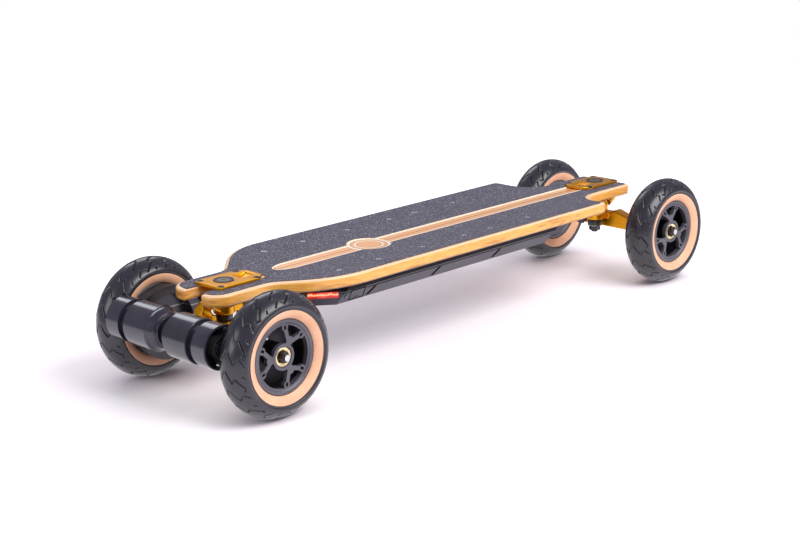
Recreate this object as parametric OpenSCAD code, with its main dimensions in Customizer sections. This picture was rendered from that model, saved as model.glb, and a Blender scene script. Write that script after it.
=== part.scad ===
// Electric mountainboard: a concave bamboo deck on two double-pivot trucks, four
// pneumatic wheels, and two motors that drive the rear wheels through toothed belts.
// +X points to the front, +Y to the rider's left, +Z up, and the tyres stand on z = 0.
// Each truck is drawn about its own axle: u runs outboard along the board, y across it.

/* [Layout] */
// Distance between the front and the rear axle
wheelbase = 887; // [800:1:960]
// Distance between the middles of the two rear tyres
rear_track = 268; // [264:1:290]
// Distance between the middles of the two front tyres
front_track = 249.6; // [246:0.1:280]

/* [Deck] */
// Height of the deck's top at the middle of the board
deck_top = 154.5; // [154:0.5:158]
// Thickness of the laminated deck
deck_t = 17; // [15:0.5:18]
// Width of the deck at its widest
deck_w = 240; // [228:1:250]
// Width of the two necks that carry the trucks
neck_w = 103; // [96:1:108]
// Radius of the concave across the deck's top
concave_r = 1100; // [900:10:1600]
// Distance from the rear axle out to the tip of the deck
rear_overhang = 28.5; // [24:0.5:30]
// Distance from the front axle out to the tip of the deck
front_overhang = 6; // [4:0.5:12]
// Distance from the rear axle in to the middle of the shoulder's curve
rear_shoulder = 188.5; // [180:0.5:220]
// Distance from the front axle in to the corner of the front wings
front_shoulder = 149.5; // [145:0.5:180]
// Width of the slot in each neck that the truck passes through
slot_w = 35; // [34:0.5:36]
// Thickness of the grip sheet
grip_t = 1; // [0.6:0.1:1.5]
// Bare wood left along the deck's edge
grip_inset = 6; // [4:0.5:9]
// Width of the bare stripe along the middle
stripe_w = 29; // [20:1:40]
// Radius of the bare round field in the stripe
field_r = 33; // [24:1:38]

/* [Wheels] */
// Outer radius of the tyres
tyre_r = 87.5; // [84:0.5:90]
// Width of the tyres
tyre_w = 53.8; // [50:0.2:56]
// Thickness of the tread
tread_t = 6.5; // [5:0.5:8]
// Radius of the rim's flange
rim_r = 52; // [50:0.5:54]
// Width of the rim over both flanges
rim_w = 37.8; // [36:0.2:40]
// Number of forked spokes in each half rim
spokes = 3; // [3:1:4]
// Width of a spoke's fork arms
arm_w = 6; // [5:0.5:8]
// Radius of the axle
axle_r = 6; // [5:0.25:6.5]
// Radius of the thread on each end of the axle
thread_r = 4.5; // [4:0.25:5]
// Outer radius of a wheel bearing
bearing_r = 14; // [12:0.5:15]
// Width of a wheel bearing
bearing_w = 8; // [6:0.5:8]
// Distance from the middle of a wheel out to its bearings
bearing_in = 6; // [4:0.5:6]

/* [Trucks] */
// Lean of the pivot axes above the level
pivot_angle = 32; // [29:0.5:34]
// Distance from the axle in to the lower kingpin
kingpin_in = 27; // [26:0.5:29]
// Height of the hanger's ring above the ground
ring_z = 98; // [97:0.5:99]
// Distance between the two kingpins
kingpin_gap = 37; // [36:0.5:39]
// Height of the link's ring above the ground
link_ring_z = 120; // [119:0.5:121]
// Radius of the kingpins
kingpin_r = 5; // [4:0.25:5.5]
// Radius of the bushings
bushing_r = 12; // [10:0.5:12.5]
// Height of the bushings
bushing_h = 10; // [9:0.5:10.5]
// Thickness of the two rings
ring_t = 10; // [9:0.5:10.5]
// Radius of the two rings
ring_r = 15; // [14:0.5:16]
// Radius of the pivot noses
nose_r = 5.25; // [5:0.25:6.5]
// Thickness of the pivot cups
cup_t = 1.5; // [1.5:0.25:2.5]
// Thickness and depth of the hanger's square arms
arm_s = 20; // [18:0.5:22]
// Width of the base plate on the deck
plate_w = 55; // [52:0.5:58]
// Length of the base plate
plate_l = 87; // [84:0.5:92]
// Height of the base plate above the deck
plate_t = 5; // [4:0.25:6]

/* [Drive] */
// Pitch of the belt's teeth
tooth_pitch = 5; // [5:0.1:5.1]
// Teeth of the pulley on the wheel
wheel_teeth = 64; // [60:1:64]
// Teeth of the pulley on the motor
motor_teeth = 15; // [13:1:16]
// Width of the belt
belt_w = 15; // [12:0.5:15]
// Distance from the axle out to the motor's shaft
motor_out = 66.5; // [66:0.5:80]
// Height of the motor's shaft above the axle
motor_up = 19.5; // [16:0.5:22]
// Radius of the motor
motor_r = 31.5; // [29:0.5:32]
// Gap between the two motors
motor_gap = 8; // [6:1:14]
// Length of the motor's end cap
motor_cap_l = 16; // [12:0.5:18]
// Length of the motor's can
motor_l = 46.5; // [40:0.5:47]
// Thickness of the mount that holds the motor to the hanger
mount_t = 12.5; // [8:0.5:13]

/* [Enclosure] */
// Length of the enclosure
case_l = 548; // [500:2:580]
// Distance from the rear axle in to the rear of the enclosure
case_rear = 95.5; // [92:0.5:104]
// Width of the enclosure at the deck
case_w = 192; // [180:1:196]
// Width of the enclosure's underside
case_floor_w = 166; // [156:1:170]
// Height of the enclosure's underside above the ground
case_z = 110; // [108:0.5:112]
// Thickness of the enclosure's walls
case_wall = 3; // [2:0.25:4]
// Travel of the power button
button_travel = 1.5; // [1:0.1:2]

/* [Hidden] */
$fn = 64;

// Clearances: pieces that turn on each other, pieces fixed in each other, pieces that pass
running = 0.05;
fit = 0.05;
gap = 0.3;

// The origin lies under the middle of the whole board
rear_end = -wheelbase / 2 - motor_out - motor_r;
front_end = wheelbase / 2 + tyre_r;
shift_x = -(rear_end + front_end) / 2;
axle_z = tyre_r;
front_x = wheelbase / 2 + shift_x;
rear_x = -wheelbase / 2 + shift_x;

gold = [0.88, 0.62, 0.12];
dark = [0.2, 0.2, 0.22];
steel = [0.7, 0.7, 0.72];
rubber = [0.16, 0.16, 0.18];

function arc(c, r, a0, a1, n) = [
    for (i = [0:n])
        let (a = a0 + (a1 - a0) * i / n)
        c + r * [cos(a), sin(a)]
];
function bezier(a, b, c, d, n) = [
    for (i = [0:n])
        let (t = i / n)
        a * pow(1 - t, 3) + 3 * b * t * pow(1 - t, 2) + 3 * c * t * t * (1 - t) + d * pow(t, 3)
];
// Mirrors a half outline's corners [x, y, radius] over the x axis, in turn order
function mirrored(corners) = [
    for (i = [len(corners) - 1:-1:0]) [corners[i][0], -corners[i][1], corners[i][2]]
];

// Corner p between a and c, rounded with radius r
function rounded(a, p, c, r) =
    let (
        u = (a - p) / norm(a - p),
        v = (c - p) / norm(c - p),
        half = acos(max(-1, min(1, u * v))) / 2,
        m = p + (u + v) / norm(u + v) * r / sin(half),
        s = p + u * r / tan(half) - m,
        e = p + v * r / tan(half) - m,
        a0 = atan2(s[1], s[0]),
        turn = atan2(s[0] * e[1] - s[1] * e[0], s * e)
    )
    arc(m, r, a0, a0 + turn, max(2, ceil(abs(turn) / 7)));
function outline(corners) = [
    for (i = [0:len(corners) - 1])
        let (
            n = len(corners),
            a = corners[(i + n - 1) % n],
            p = corners[i],
            c = corners[(i + 1) % n]
        )
        each p[2] > 0
            ? rounded([a[0], a[1]], [p[0], p[1]], [c[0], c[1]], p[2])
            : [[p[0], p[1]]]
];

// Deck

deck_end_rear = rear_x - rear_overhang;
deck_end_front = front_x + front_overhang;
shoulder_x = rear_x + rear_shoulder;
wing_x = front_x - front_shoulder;
shoulder_drop = (deck_w - neck_w) / 2;
slot_in = 84;
slab_z = deck_top - 2 * deck_t;
slab_h = 4 * deck_t;

// Half outline of the deck, from the rear tip to the front tip, drawn e inside the edge
function deck_half(e) =
    let (
        w = deck_w / 2 - e,
        n = neck_w / 2 - e,
        t = tan(22.5) * e,
        c = shoulder_x - tan(22.5) * deck_w / 2
    )
    [
        [deck_end_rear + e, n, 26 - e],
        [c + t - shoulder_drop, n, 30 + e],
        [c + t, w, deck_w / 2 - e],
        [wing_x - e, w, 14 - e / 2],
        [wing_x + 19 - e, n, 50 + e],
        [deck_end_front - e, n, 12 - e]
    ];
module deck_outline(e) {
    half = deck_half(e);
    polygon(outline(concat(half, mirrored(half))));
}
module truck_slots() {
    translate([deck_end_rear - 20, -slot_w / 2])
        square([rear_overhang + slot_in + 20, slot_w]);
    translate([front_x - slot_in, -slot_w / 2])
        square([front_overhang + slot_in + 20, slot_w]);
}
// Shell between two depths under the deck's curved top
module concave_shell(top, bottom) {
    translate([0, 0, deck_top + concave_r])
        rotate([0, 90, 0])
            difference() {
                cylinder(r = concave_r + bottom, h = 2 * wheelbase, center = true, $fn = 720);
                cylinder(r = concave_r + top, h = 3 * wheelbase, center = true, $fn = 720);
            }
}
function concave_z(y) = deck_top + concave_r - sqrt(pow(concave_r, 2) - y * y);

case_x0 = rear_x + case_rear;
case_x1 = case_x0 + case_l;
screw_in = 16;
screw_y = case_w / 2 - screw_in;
screw_share = [0.142, 0.285, 0.454, 0.622, 0.728, 0.894];
screw_x = [for (share = screw_share) case_x0 + share * case_l];
module at_case_screws() {
    for (x = screw_x, side = [-1, 1])
        translate([x, side * screw_y, concave_z(screw_y)])
            children();
}
base_screw_u = [-5, -70];
base_screw_y = 22.4;
base_screw_r = 2.5;
module at_base_screws() {
    for (u = base_screw_u, side = [-1, 1])
        translate([u, side * base_screw_y, 0])
            children();
}
module front_truck() {
    translate([front_x, 0, 0])
        children();
}
module rear_truck() {
    translate([rear_x, 0, 0])
        rotate([0, 0, 180])
            children();
}
module both_trucks() {
    front_truck()
        children();
    rear_truck()
        children();
}

module deck() {
    color([0.93, 0.72, 0.38])
        difference() {
            intersection() {
                translate([0, 0, slab_z])
                    linear_extrude(slab_h)
                        difference() {
                            deck_outline(0);
                            truck_slots();
                        }
                concave_shell(0, deck_t);
            }
            at_case_screws() {
                translate([0, 0, -30])
                    cylinder(r = 2.3, h = 60);
                translate([0, 0, -2.4])
                    cylinder(r = 4.2, h = 20);
            }
            both_trucks()
                at_base_screws()
                    translate([0, 0, slab_z])
                        cylinder(r = base_screw_r + gap, h = slab_h);
        }
}

// Bare windows in the grip sheet: stripe, round field and truck plates
field_x = -132 + shift_x;
stripe_tip = -320 + shift_x;
arrow_l = 6;
module plate_window(tip) {
    w = plate_w / 2 + 0.6;
    inner = plate_out - plate_l;
    polygon([
        [40, -slot_w / 2], [plate_out + 0.6, -slot_w / 2], [plate_out + 0.6, -w], [inner + 15, -w],
        [inner - tip, -18], [inner - tip, 18],
        [inner + 15, w], [plate_out + 0.6, w], [plate_out + 0.6, slot_w / 2], [40, slot_w / 2]
    ]);
}
module grip_windows() {
    w = stripe_w / 2;
    polygon([
        [stripe_tip, 0], [stripe_tip + 14, w], [front_x - 60, w], [front_x - 60, -w],
        [stripe_tip + 22, -w]
    ]);
    translate([field_x, 0])
        circle(field_r);
    translate([front_x, 0])
        plate_window(2);
    translate([rear_x, 0])
        rotate(180)
            plate_window(arrow_l);
    for (x = screw_x, side = [-1, 1])
        translate([x, side * screw_y])
            circle(4.6);
}
module grip_tape() {
    color([0.33, 0.32, 0.38])
        intersection() {
            translate([0, 0, slab_z])
                linear_extrude(slab_h)
                    difference() {
                        deck_outline(grip_inset);
                        grip_windows();
                    }
            concave_shell(-grip_t, 0);
        }
}

// Enclosure under the deck

tail_w = 56;
taper_l = 83;
light_l = 44;
light_h = 9;
light_d = 4;
light_in = 39;
light_z = case_z + 14.5;
slash_pitch = 136;
port_z = case_z + 9.5;
port_w = 26;
port_h = 15;
port_r = 6;
flap_t = 2;
hinge_r = 1.4;
button_r = 3.6;
case_screw_r = 2;
gasket_t = 1;
case_top = deck_top - deck_t - gasket_t;
case_h = case_top - case_z;
case_slope = (case_w - case_floor_w) / 2 / case_h;
case_lean = atan(case_slope);
taper_a = atan((case_w / 2 - tail_w / 2) / taper_l);
wall_y = case_floor_w / 2 + (port_z - case_z) * case_slope;
wall_x0 = case_x0 + (wall_y - tail_w / 2) / tan(taper_a);
button_x = wall_x0 + 9.2;
port_x = button_x + 22;
slash_x = port_x + 29;
flange_in = 26;
flange_t = 6;
seam_z = case_z + 15;
seam_h = 1.6;
seam_d = 1.5;
spill = 8;

// Plan of the enclosure at half width w, drawn e inside its rear and tapered faces
module case_plan(w, e) {
    rear = [case_x0 + e, tail_w / 2 + e * (1 - 1 / sin(taper_a)) * tan(taper_a), 8];
    corner = [case_x0 + (w - tail_w / 2) / tan(taper_a) + e / sin(taper_a), w, 14];
    half = [rear, corner, [case_x1 + spill - e, w, 0]];
    polygon(outline(concat(half, mirrored(half))));
}
// Block of the enclosure between two heights, drawn e inside its outer faces
module case_block(e, z0, z1) {
    intersection() {
        translate([case_x0, 0, case_z])
            rotate([90, 0, 90])
                linear_extrude(case_l + spill)
                    polygon([
                        [-case_floor_w / 2 + e, 0],
                        [case_floor_w / 2 - e, 0],
                        [case_w / 2 + spill * case_slope - e, case_h + spill],
                        [-case_w / 2 - spill * case_slope + e, case_h + spill]
                    ]);
        translate([0, 0, z0])
            linear_extrude(z1 - z0)
                case_plan(case_w / 2 + spill, e);
        translate([0, case_w, case_z])
            rotate([90, 0, 0])
                linear_extrude(2 * case_w)
                    polygon([
                        [case_x0 + 18 + e, 0],
                        [case_x1 - 20 - e, 0],
                        [case_x1 + 0.7 * spill - e, case_h + spill],
                        [case_x0 + e, case_h + spill],
                        [case_x0 + e, 14]
                    ]);
    }
}
// Places children on the right wall: x along the board, y up the wall, z out of it
module on_right_wall(x, z) {
    translate([x, -case_floor_w / 2 - (z - case_z) * case_slope, z])
        rotate([90 + case_lean, 0, 0])
            children();
}
// Places children on both tapered rear walls: x along the wall, -y out of it
module on_tapers() {
    for (side = [0, 1])
        mirror([0, side, 0])
            translate([case_x0 + taper_l, case_w / 2, light_z])
                rotate([0, 0, 180 + taper_a])
                    translate([light_in, 0, 0])
                        children();
}
module light_block(e) {
    translate([-light_l / 2 - e, -0.6 - e, -light_h / 2 - e])
        cube([light_l + 2 * e, light_d + 0.6 + 2 * e, light_h + 2 * e]);
}
module port_recess() {
    translate([-port_w / 2 - gap, -port_h / 2 - gap, -flap_t - 0.1])
        cube([port_w + 2 * gap, port_h + 2 * gap, 10]);
    translate([-port_w / 2 - gap, port_h / 2, -flap_t / 2])
        rotate([0, 90, 0])
            cylinder(r = hinge_r + gap, h = port_w + 2 * gap);
}

module enclosure() {
    color(dark)
        difference() {
            union() {
                case_block(0, case_z, seam_z);
                case_block(seam_d, seam_z - 1, seam_z + seam_h + 1);
                case_block(0, seam_z + seam_h, case_top + spill);
            }
            case_block(case_wall, case_z + case_wall, case_top - flange_t);
            case_block(flange_in, case_z + case_wall, case_top + 2 * spill);
            translate([0, 0, deck_top + concave_r])
                rotate([0, 90, 0])
                    cylinder(r = concave_r + deck_t + gasket_t, h = 2 * wheelbase, center = true, $fn = 720);
            at_case_screws()
                translate([0, 0, -45])
                    cylinder(r = case_screw_r + fit, h = 60);
            for (i = [0:2], side = [0, 1])
                mirror([0, side, 0])
                    on_right_wall(slash_x + i * slash_pitch, case_z + 8.5)
                        rotate([0, 0, -44])
                            cube([2.6, 17, 3], center = true);
            on_tapers()
                light_block(fit);
            on_right_wall(port_x, port_z)
                port_recess();
            on_right_wall(port_x, port_z)
                translate([0, 0, -20])
                    cylinder(r = port_r + fit, h = 20);
            on_right_wall(button_x, port_z)
                translate([0, 0, -20])
                    cylinder(r = button_r + gap, h = 30);
        }
}
module enclosure_gasket() {
    color(rubber)
        difference() {
            intersection() {
                translate([0, 0, slab_z])
                    linear_extrude(slab_h)
                        difference() {
                            intersection() {
                                case_plan(case_w / 2 - 1, 1);
                                translate([case_x0, -case_w])
                                    square([case_l - case_wall, 2 * case_w]);
                            }
                            intersection() {
                                case_plan(case_w / 2 - flange_in + 4, flange_in - 4);
                                translate([case_x0, -case_w])
                                    square([case_l - flange_in, 2 * case_w]);
                            }
                        }
                concave_shell(deck_t, deck_t + gasket_t);
            }
            at_case_screws()
                translate([0, 0, -30])
                    cylinder(r = case_screw_r + gap, h = 60);
        }
}
module enclosure_screws() {
    color(steel)
        at_case_screws() {
            difference() {
                translate([0, 0, -2.3])
                    cylinder(r = 4, h = 2);
                translate([0, 0, -1.5])
                    cylinder(r = 1.7, h = 2, $fn = 6);
            }
            translate([0, 0, -deck_t - gasket_t - flange_t + 1])
                cylinder(r = case_screw_r, h = deck_t + gasket_t + flange_t - 3);
        }
}
cell_r = 9.2;
cell_pitch = 18.9;
cell_l = 65.2;
cell_in = 38;
lead_room = 20;
controller_in = 82;
controller_l = 92;
controller_w = 90;
controller_t = 9;
fin_t = 3;
fin_h = 10;
fins = 9;
cell_rows = 1 + floor(
    (case_l - cell_in - cell_r - lead_room - controller_l - controller_in) / cell_pitch
);
module battery_pack() {
    color([0.25, 0.42, 0.55])
        translate([case_x1 - cell_in, 0, case_z + case_wall + gap + cell_r])
            for (side = [0, 1])
                mirror([0, side, 0])
                    rotate([90, 0, 0])
                        translate([0, 0, 0.2])
                            linear_extrude(cell_l - 0.2)
                                union() {
                                    for (i = [0:cell_rows - 1])
                                        translate([-i * cell_pitch, 0])
                                            circle(cell_r);
                                    translate([-(cell_rows - 1) * cell_pitch, -cell_r / 2])
                                        square([(cell_rows - 1) * cell_pitch, cell_r]);
                                }
}
module motor_controller() {
    fin_pitch = (controller_w - fin_t - 2) / (fins - 1);
    color(steel)
        translate([case_x0 + controller_in, 0, case_z + case_wall + gap])
            rotate([90, 0, 90])
                linear_extrude(controller_l)
                    union() {
                        translate([-controller_w / 2, 0])
                            square([controller_w, controller_t]);
                        for (i = [0:fins - 1])
                            translate([1 - controller_w / 2 + i * fin_pitch, controller_t - 1])
                                square([fin_t, fin_h]);
                    }
}
module charge_port() {
    color(dark)
        on_right_wall(port_x, port_z)
            difference() {
                union() {
                    translate([0, 0, -18])
                        cylinder(r = port_r, h = 18 - flap_t - gap);
                    translate([0, 0, -8.5])
                        cylinder(r = port_r + 2, h = 1.5);
                }
                difference() {
                    translate([0, 0, -12])
                        cylinder(r = port_r - 1.8, h = 20);
                    translate([0, 0, -13])
                        cylinder(r = 1.2, h = 9);
                }
            }
}
module port_cover() {
    color(rubber)
        on_right_wall(port_x, port_z)
            union() {
                translate([-port_w / 2, -port_h / 2, -flap_t])
                    cube([port_w, port_h, flap_t]);
                translate([-port_w / 2, port_h / 2, -flap_t / 2])
                    rotate([0, 90, 0])
                        cylinder(r = hinge_r, h = port_w);
                translate([-4, -port_h / 2 + 0.6, -0.5])
                    cube([8, 1.6, 1.3]);
            }
}
module power_button() {
    color(steel)
        on_right_wall(button_x, port_z) {
            translate([0, 0, -case_wall - button_travel - 3])
                cylinder(r = button_r, h = case_wall + button_travel + 3 + 0.8);
            translate([0, 0, -case_wall - 1.2 - gap])
                cylinder(r = button_r + 1.4, h = 1.2);
        }
}
module tail_lights() {
    color([0.85, 0.12, 0.08])
        on_tapers()
            light_block(0);
}

// Trucks. An axis through a ring's centre carries the pivot nose at its outer end.

link_u = -kingpin_in - kingpin_gap;
plate_out = 2;
block_w = 32;
cap_u = -28.5;
cap_r = 14.5;
plate_z = concave_z(plate_w / 2) + 0.02;
plate_top = plate_z + plate_t;
seat_z = link_ring_z + ring_t / 2 + bushing_h;
link_seat_z = ring_z + ring_t / 2 + bushing_h;
hole_r = kingpin_r + 1.8;
washer_t = 1.5;
nut_t = 8;
head_r = 8;
head_h = 6;
cup_r = nose_r + cup_t;
housing_r = cup_r + 2.75;
scoop_r = 20;
scoop_t = 4.4;
scoop_w = 20;
scoop_u = link_u - 1.5;
stud_end = plate_top - scoop_t - 3;

// Places children on a pivot axis that starts at a ring's centre: z runs along the axis
module on_axis(u, z, s) {
    translate([u, 0, z])
        rotate([0, 90 - pivot_angle, 0])
            translate([0, 0, s])
                children();
}
module on_upper_axis(s) {
    on_axis(link_u, link_ring_z, s)
        children();
}
module on_lower_axis(s) {
    on_axis(-kingpin_in, ring_z, s)
        children();
}

upper_cup_s = 33.5;
lower_cup_s = 36.5;
cup_l = 14;

module plate_shape() {
    half = [
        [plate_out - plate_l, 17, 4],
        [plate_out - plate_l + 15, plate_w / 2, 5],
        [plate_out, plate_w / 2, 4]
    ];
    polygon(outline(concat(half, mirrored(half))));
}
module truck_base() {
    color(gold)
        difference() {
            union() {
                translate([0, 0, plate_z])
                    linear_extrude(plate_t)
                        plate_shape();
                translate([link_u, 0, seat_z])
                    cylinder(r = block_w / 2, h = plate_z - seat_z + 1);
                translate([link_u, -block_w / 2, seat_z])
                    cube([12, block_w, plate_z - seat_z + 1]);
                intersection() {
                    on_upper_axis(upper_cup_s)
                        cylinder(r = housing_r, h = cup_l + 4);
                    translate([-100, -50, 100])
                        cube([100, 100, plate_z - 100 + 1]);
                }
                intersection() {
                    translate([link_u + 22, -housing_r, 130])
                        cube([34, 2 * housing_r, plate_z - 130 + 1]);
                    on_upper_axis(upper_cup_s)
                        translate([-60, -housing_r, 0])
                            cube([60, 2 * housing_r, cup_l + 4]);
                }
            }
            on_upper_axis(0)
                cylinder(r = cup_r + fit, h = upper_cup_s + cup_l + fit);
            translate([link_u, 0, 0])
                cylinder(r = kingpin_r + fit, h = stud_end + fit);
            translate([scoop_u, 0, plate_top + scoop_r - scoop_t])
                rotate([90, 0, 0])
                    cylinder(r = scoop_r, h = scoop_w, center = true);
            at_base_screws()
                translate([0, 0, plate_z - 1])
                    cylinder(r = base_screw_r + gap, h = 20);
            at_base_screws()
                translate([0, 0, plate_top - 2])
                    cylinder(r = 4.8, h = 20);
            translate([cap_u, 0, plate_top - 0.8])
                cylinder(r = cap_r + fit, h = 5);
        }
}
module base_screws() {
    color(steel)
        both_trucks()
            at_base_screws() {
                difference() {
                    translate([0, 0, plate_top - 2])
                        cylinder(r = 4.5, h = 2);
                    translate([0, 0, plate_top - 1.2])
                        cylinder(r = 1.7, h = 3, $fn = 6);
                }
                translate([0, 0, deck_top - deck_t - 7])
                    cylinder(r = base_screw_r, h = plate_top - deck_top + deck_t + 5.5);
                translate([0, 0, deck_top - deck_t - 4.6])
                    difference() {
                        cylinder(r = 4.6, h = 4.5, $fn = 6);
                        translate([0, 0, -1])
                            cylinder(r = base_screw_r - 0.01, h = 8);
                    }
            }
}
module base_caps() {
    color(dark)
        both_trucks()
            translate([cap_u, 0, plate_top - 0.8])
                difference() {
                    cylinder(r = cap_r, h = 1.6);
                    translate([0, 0, 1.2])
                        cylinder(r = cap_r - 2, h = 2);
                }
}
// Stud from the tip at z0 up to its blind end at z1
module stud(z0, z1) {
    translate([0, 0, z0])
        cylinder(r = kingpin_r, h = z1 - z0);
}
// Kingpin bolt from the tip at z0 up to its head's underside at z1
module kingpin(z0, z1) {
    difference() {
        union() {
            translate([0, 0, z0])
                cylinder(r = kingpin_r, h = z1 - z0 + 1);
            translate([0, 0, z1])
                cylinder(r = head_r, h = head_h);
        }
        translate([0, 0, z1 + head_h - 3.5])
            cylinder(r = 4.6, h = 10, $fn = 6);
    }
}
// Cup washer and nut under a bushing that ends at height z
module kingpin_nut(z) {
    difference() {
        union() {
            translate([0, 0, z - washer_t])
                cylinder(r = bushing_r, h = washer_t);
            translate([0, 0, z - washer_t - nut_t])
                cylinder(r = 9.8, h = nut_t + 0.5, $fn = 6);
        }
        cylinder(r = kingpin_r + fit, h = 200);
    }
}
module bushing(z) {
    translate([0, 0, z])
        rotate_extrude()
            polygon([
                [kingpin_r + fit, 0], [bushing_r - 1, 0], [bushing_r, 2],
                [bushing_r, bushing_h - gap - 2], [bushing_r - 1, bushing_h - gap],
                [kingpin_r + fit, bushing_h - gap]
            ]);
}
module bushing_pair(z) {
    color([0.92, 0.9, 0.86]) {
        bushing(z + ring_t / 2 + gap);
        bushing(z - ring_t / 2 - bushing_h);
    }
}
module upper_kingpins() {
    color(steel)
        both_trucks()
            translate([link_u, 0, 0]) {
                stud(link_ring_z - ring_t / 2 - bushing_h - washer_t - nut_t - 3, stud_end);
                kingpin_nut(link_ring_z - ring_t / 2 - bushing_h);
            }
}
module upper_bushings() {
    translate([link_u, 0, 0])
        bushing_pair(link_ring_z);
}
module pivot_cup() {
    difference() {
        cylinder(r = cup_r, h = cup_l);
        translate([0, 0, -1])
            cylinder(r = nose_r + running, h = cup_l - 1);
    }
}
module upper_pivot_cups() {
    color(rubber)
        both_trucks()
            on_upper_axis(upper_cup_s)
                pivot_cup();
}
// Nose on a short post; s0 is where the cup starts
module nose(s0) {
    translate([0, 0, s0 - 6])
        cylinder(r = nose_r, h = cup_l + 4 - gap);
    translate([0, 0, s0 - 6])
        cylinder(r = nose_r + 1, h = 5.5);
}
module link() {
    color(gold)
        difference() {
            union() {
                translate([link_u, 0, link_ring_z - ring_t / 2])
                    cylinder(r = ring_r, h = ring_t);
                translate([link_u, -10, link_ring_z - ring_t / 2 - 1])
                    cube([kingpin_gap, 20, ring_t]);
                translate([-kingpin_in, 0, link_seat_z])
                    cylinder(r = ring_r, h = 12);
                translate([-kingpin_in - 17, -6.5, link_seat_z + 6])
                    cube([9, 13, 16.5]);
                on_upper_axis(0)
                    nose(upper_cup_s);
                on_lower_axis(lower_cup_s)
                    cylinder(r = housing_r, h = cup_l + 3);
                on_lower_axis(10)
                    translate([-13, -9, 0])
                        cube([4, 18, lower_cup_s + 4]);
            }
            translate([link_u, 0, 0])
                cylinder(r = hole_r, h = 200);
            translate([link_u, 0, link_ring_z + ring_t / 2])
                cylinder(r = bushing_r + gap, h = 40);
            translate([link_u, 0, link_ring_z - ring_t / 2 - bushing_h])
                cylinder(r = bushing_r + gap, h = bushing_h);
            translate([-kingpin_in, 0, link_seat_z - bushing_h])
                cylinder(r = bushing_r + gap, h = bushing_h);
            translate([-kingpin_in, 0, 0])
                cylinder(r = kingpin_r + fit, h = 200);
            translate([-kingpin_in, 0, link_seat_z + 12 - head_h])
                cylinder(r = head_r + 0.3, h = 8);
            on_lower_axis(lower_cup_s - 0.5)
                cylinder(r = cup_r + fit, h = cup_l + 0.5 + fit);
        }
}
module lower_kingpin() {
    color(steel)
        translate([-kingpin_in, 0, 0]) {
            kingpin(ring_z - ring_t / 2 - bushing_h - washer_t - nut_t - 3, link_seat_z + 12 - head_h);
            kingpin_nut(ring_z - ring_t / 2 - bushing_h);
        }
}
module lower_bushings() {
    translate([-kingpin_in, 0, 0])
        bushing_pair(ring_z);
}
module lower_pivot_cup() {
    color(rubber)
        on_lower_axis(lower_cup_s)
            pivot_cup();
}
// Hanger of a truck: arms run out to arm_end, round spigots to the bearings of a wheel
module hanger(arm_end, wheel_mid) {
    spigot_end = wheel_mid - hub_h - gap;
    arm_top = axle_z + arm_s / 2;
    arm_low = axle_z - arm_s / 2;
    half = [
        [arm_end, arm_low, 2],
        [arm_end, arm_top, 2],
        [60, arm_top, 30],
        [27, arm_top + 11, 6],
        [20, arm_top + 5, 3]
    ];
    color(gold)
        difference() {
            union() {
                translate([-arm_s / 2, 0, 0])
                    rotate([90, 0, 90])
                        linear_extrude(arm_s)
                            polygon(outline(concat(
                                half,
                                [for (i = [len(half) - 1:-1:0]) [-half[i][0], half[i][1], half[i][2]]]
                            )));
                rotate([90, 0, 0])
                    translate([0, axle_z, -spigot_end])
                        cylinder(r = 9, h = 2 * spigot_end);
                translate([-kingpin_in, 0, ring_z - ring_t / 2])
                    cylinder(r = ring_r, h = ring_t);
                translate([-kingpin_in, -ring_r, ring_z - ring_t / 2])
                    cube([kingpin_in, 2 * ring_r, ring_t]);
                translate([-8, -6.5, arm_top])
                    cube([10, 13, 18]);
                on_lower_axis(0)
                    nose(lower_cup_s);
            }
            translate([-kingpin_in, 0, 0])
                cylinder(r = hole_r, h = 200);
            translate([0, 0, axle_z])
                rotate([90, 0, 0])
                    cylinder(r = axle_r + fit, h = 400, center = true);
        }
}
module axle(track) {
    color(steel)
        translate([0, 0, axle_z])
            rotate([90, 0, 0])
                union() {
                    cylinder(r = axle_r, h = track + 2 * hub_h, center = true);
                    cylinder(r = thread_r, h = track + 2 * (hub_h + axle_nut_h + 5), center = true);
                }
}
// Brass washer and steel lock nut on each end of an axle
module axle_nuts(track) {
    translate([0, 0, axle_z])
        for (side = [-1, 1])
            rotate([side * 90, 0, 0])
                translate([0, 0, track / 2 + hub_h]) {
                    color([0.82, 0.68, 0.3])
                        rotate_extrude()
                            polygon([
                                [thread_r + fit, 0.05], [axle_r + 2, 0.05], [axle_washer_r - 1, gap],
                                [axle_washer_r, gap + 0.6], [axle_washer_r - 1, axle_washer_t],
                                [axle_nut_r + 1, axle_washer_t], [axle_nut_r, axle_washer_t - 0.4],
                                [thread_r + fit, axle_washer_t - 0.4]
                            ]);
                    color(dark)
                        translate([0, 0, axle_washer_t - 0.4])
                            difference() {
                                cylinder(r = axle_nut_r, h = axle_nut_h, $fn = 6);
                                translate([0, 0, -1])
                                    cylinder(r = thread_r + fit, h = axle_nut_h + 2);
                            }
                }
}

// Wheels, drawn about z with the outer face up

hub_h = bearing_in + bearing_w;
seat_r = rim_r - 6;
bead_w = rim_w / 2 - 3.7;
cavity_r = (tyre_r - tread_t + seat_r + 4) / 2;
cavity_a = (tyre_r - tread_t - seat_r - 4) / 2;
cavity_b = tyre_w / 2 - 4.4;
valve_r = 3;
axle_washer_r = bearing_r - 0.5;
axle_washer_t = 2.4;
axle_nut_r = 9.8;
axle_nut_h = 5.5;

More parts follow.
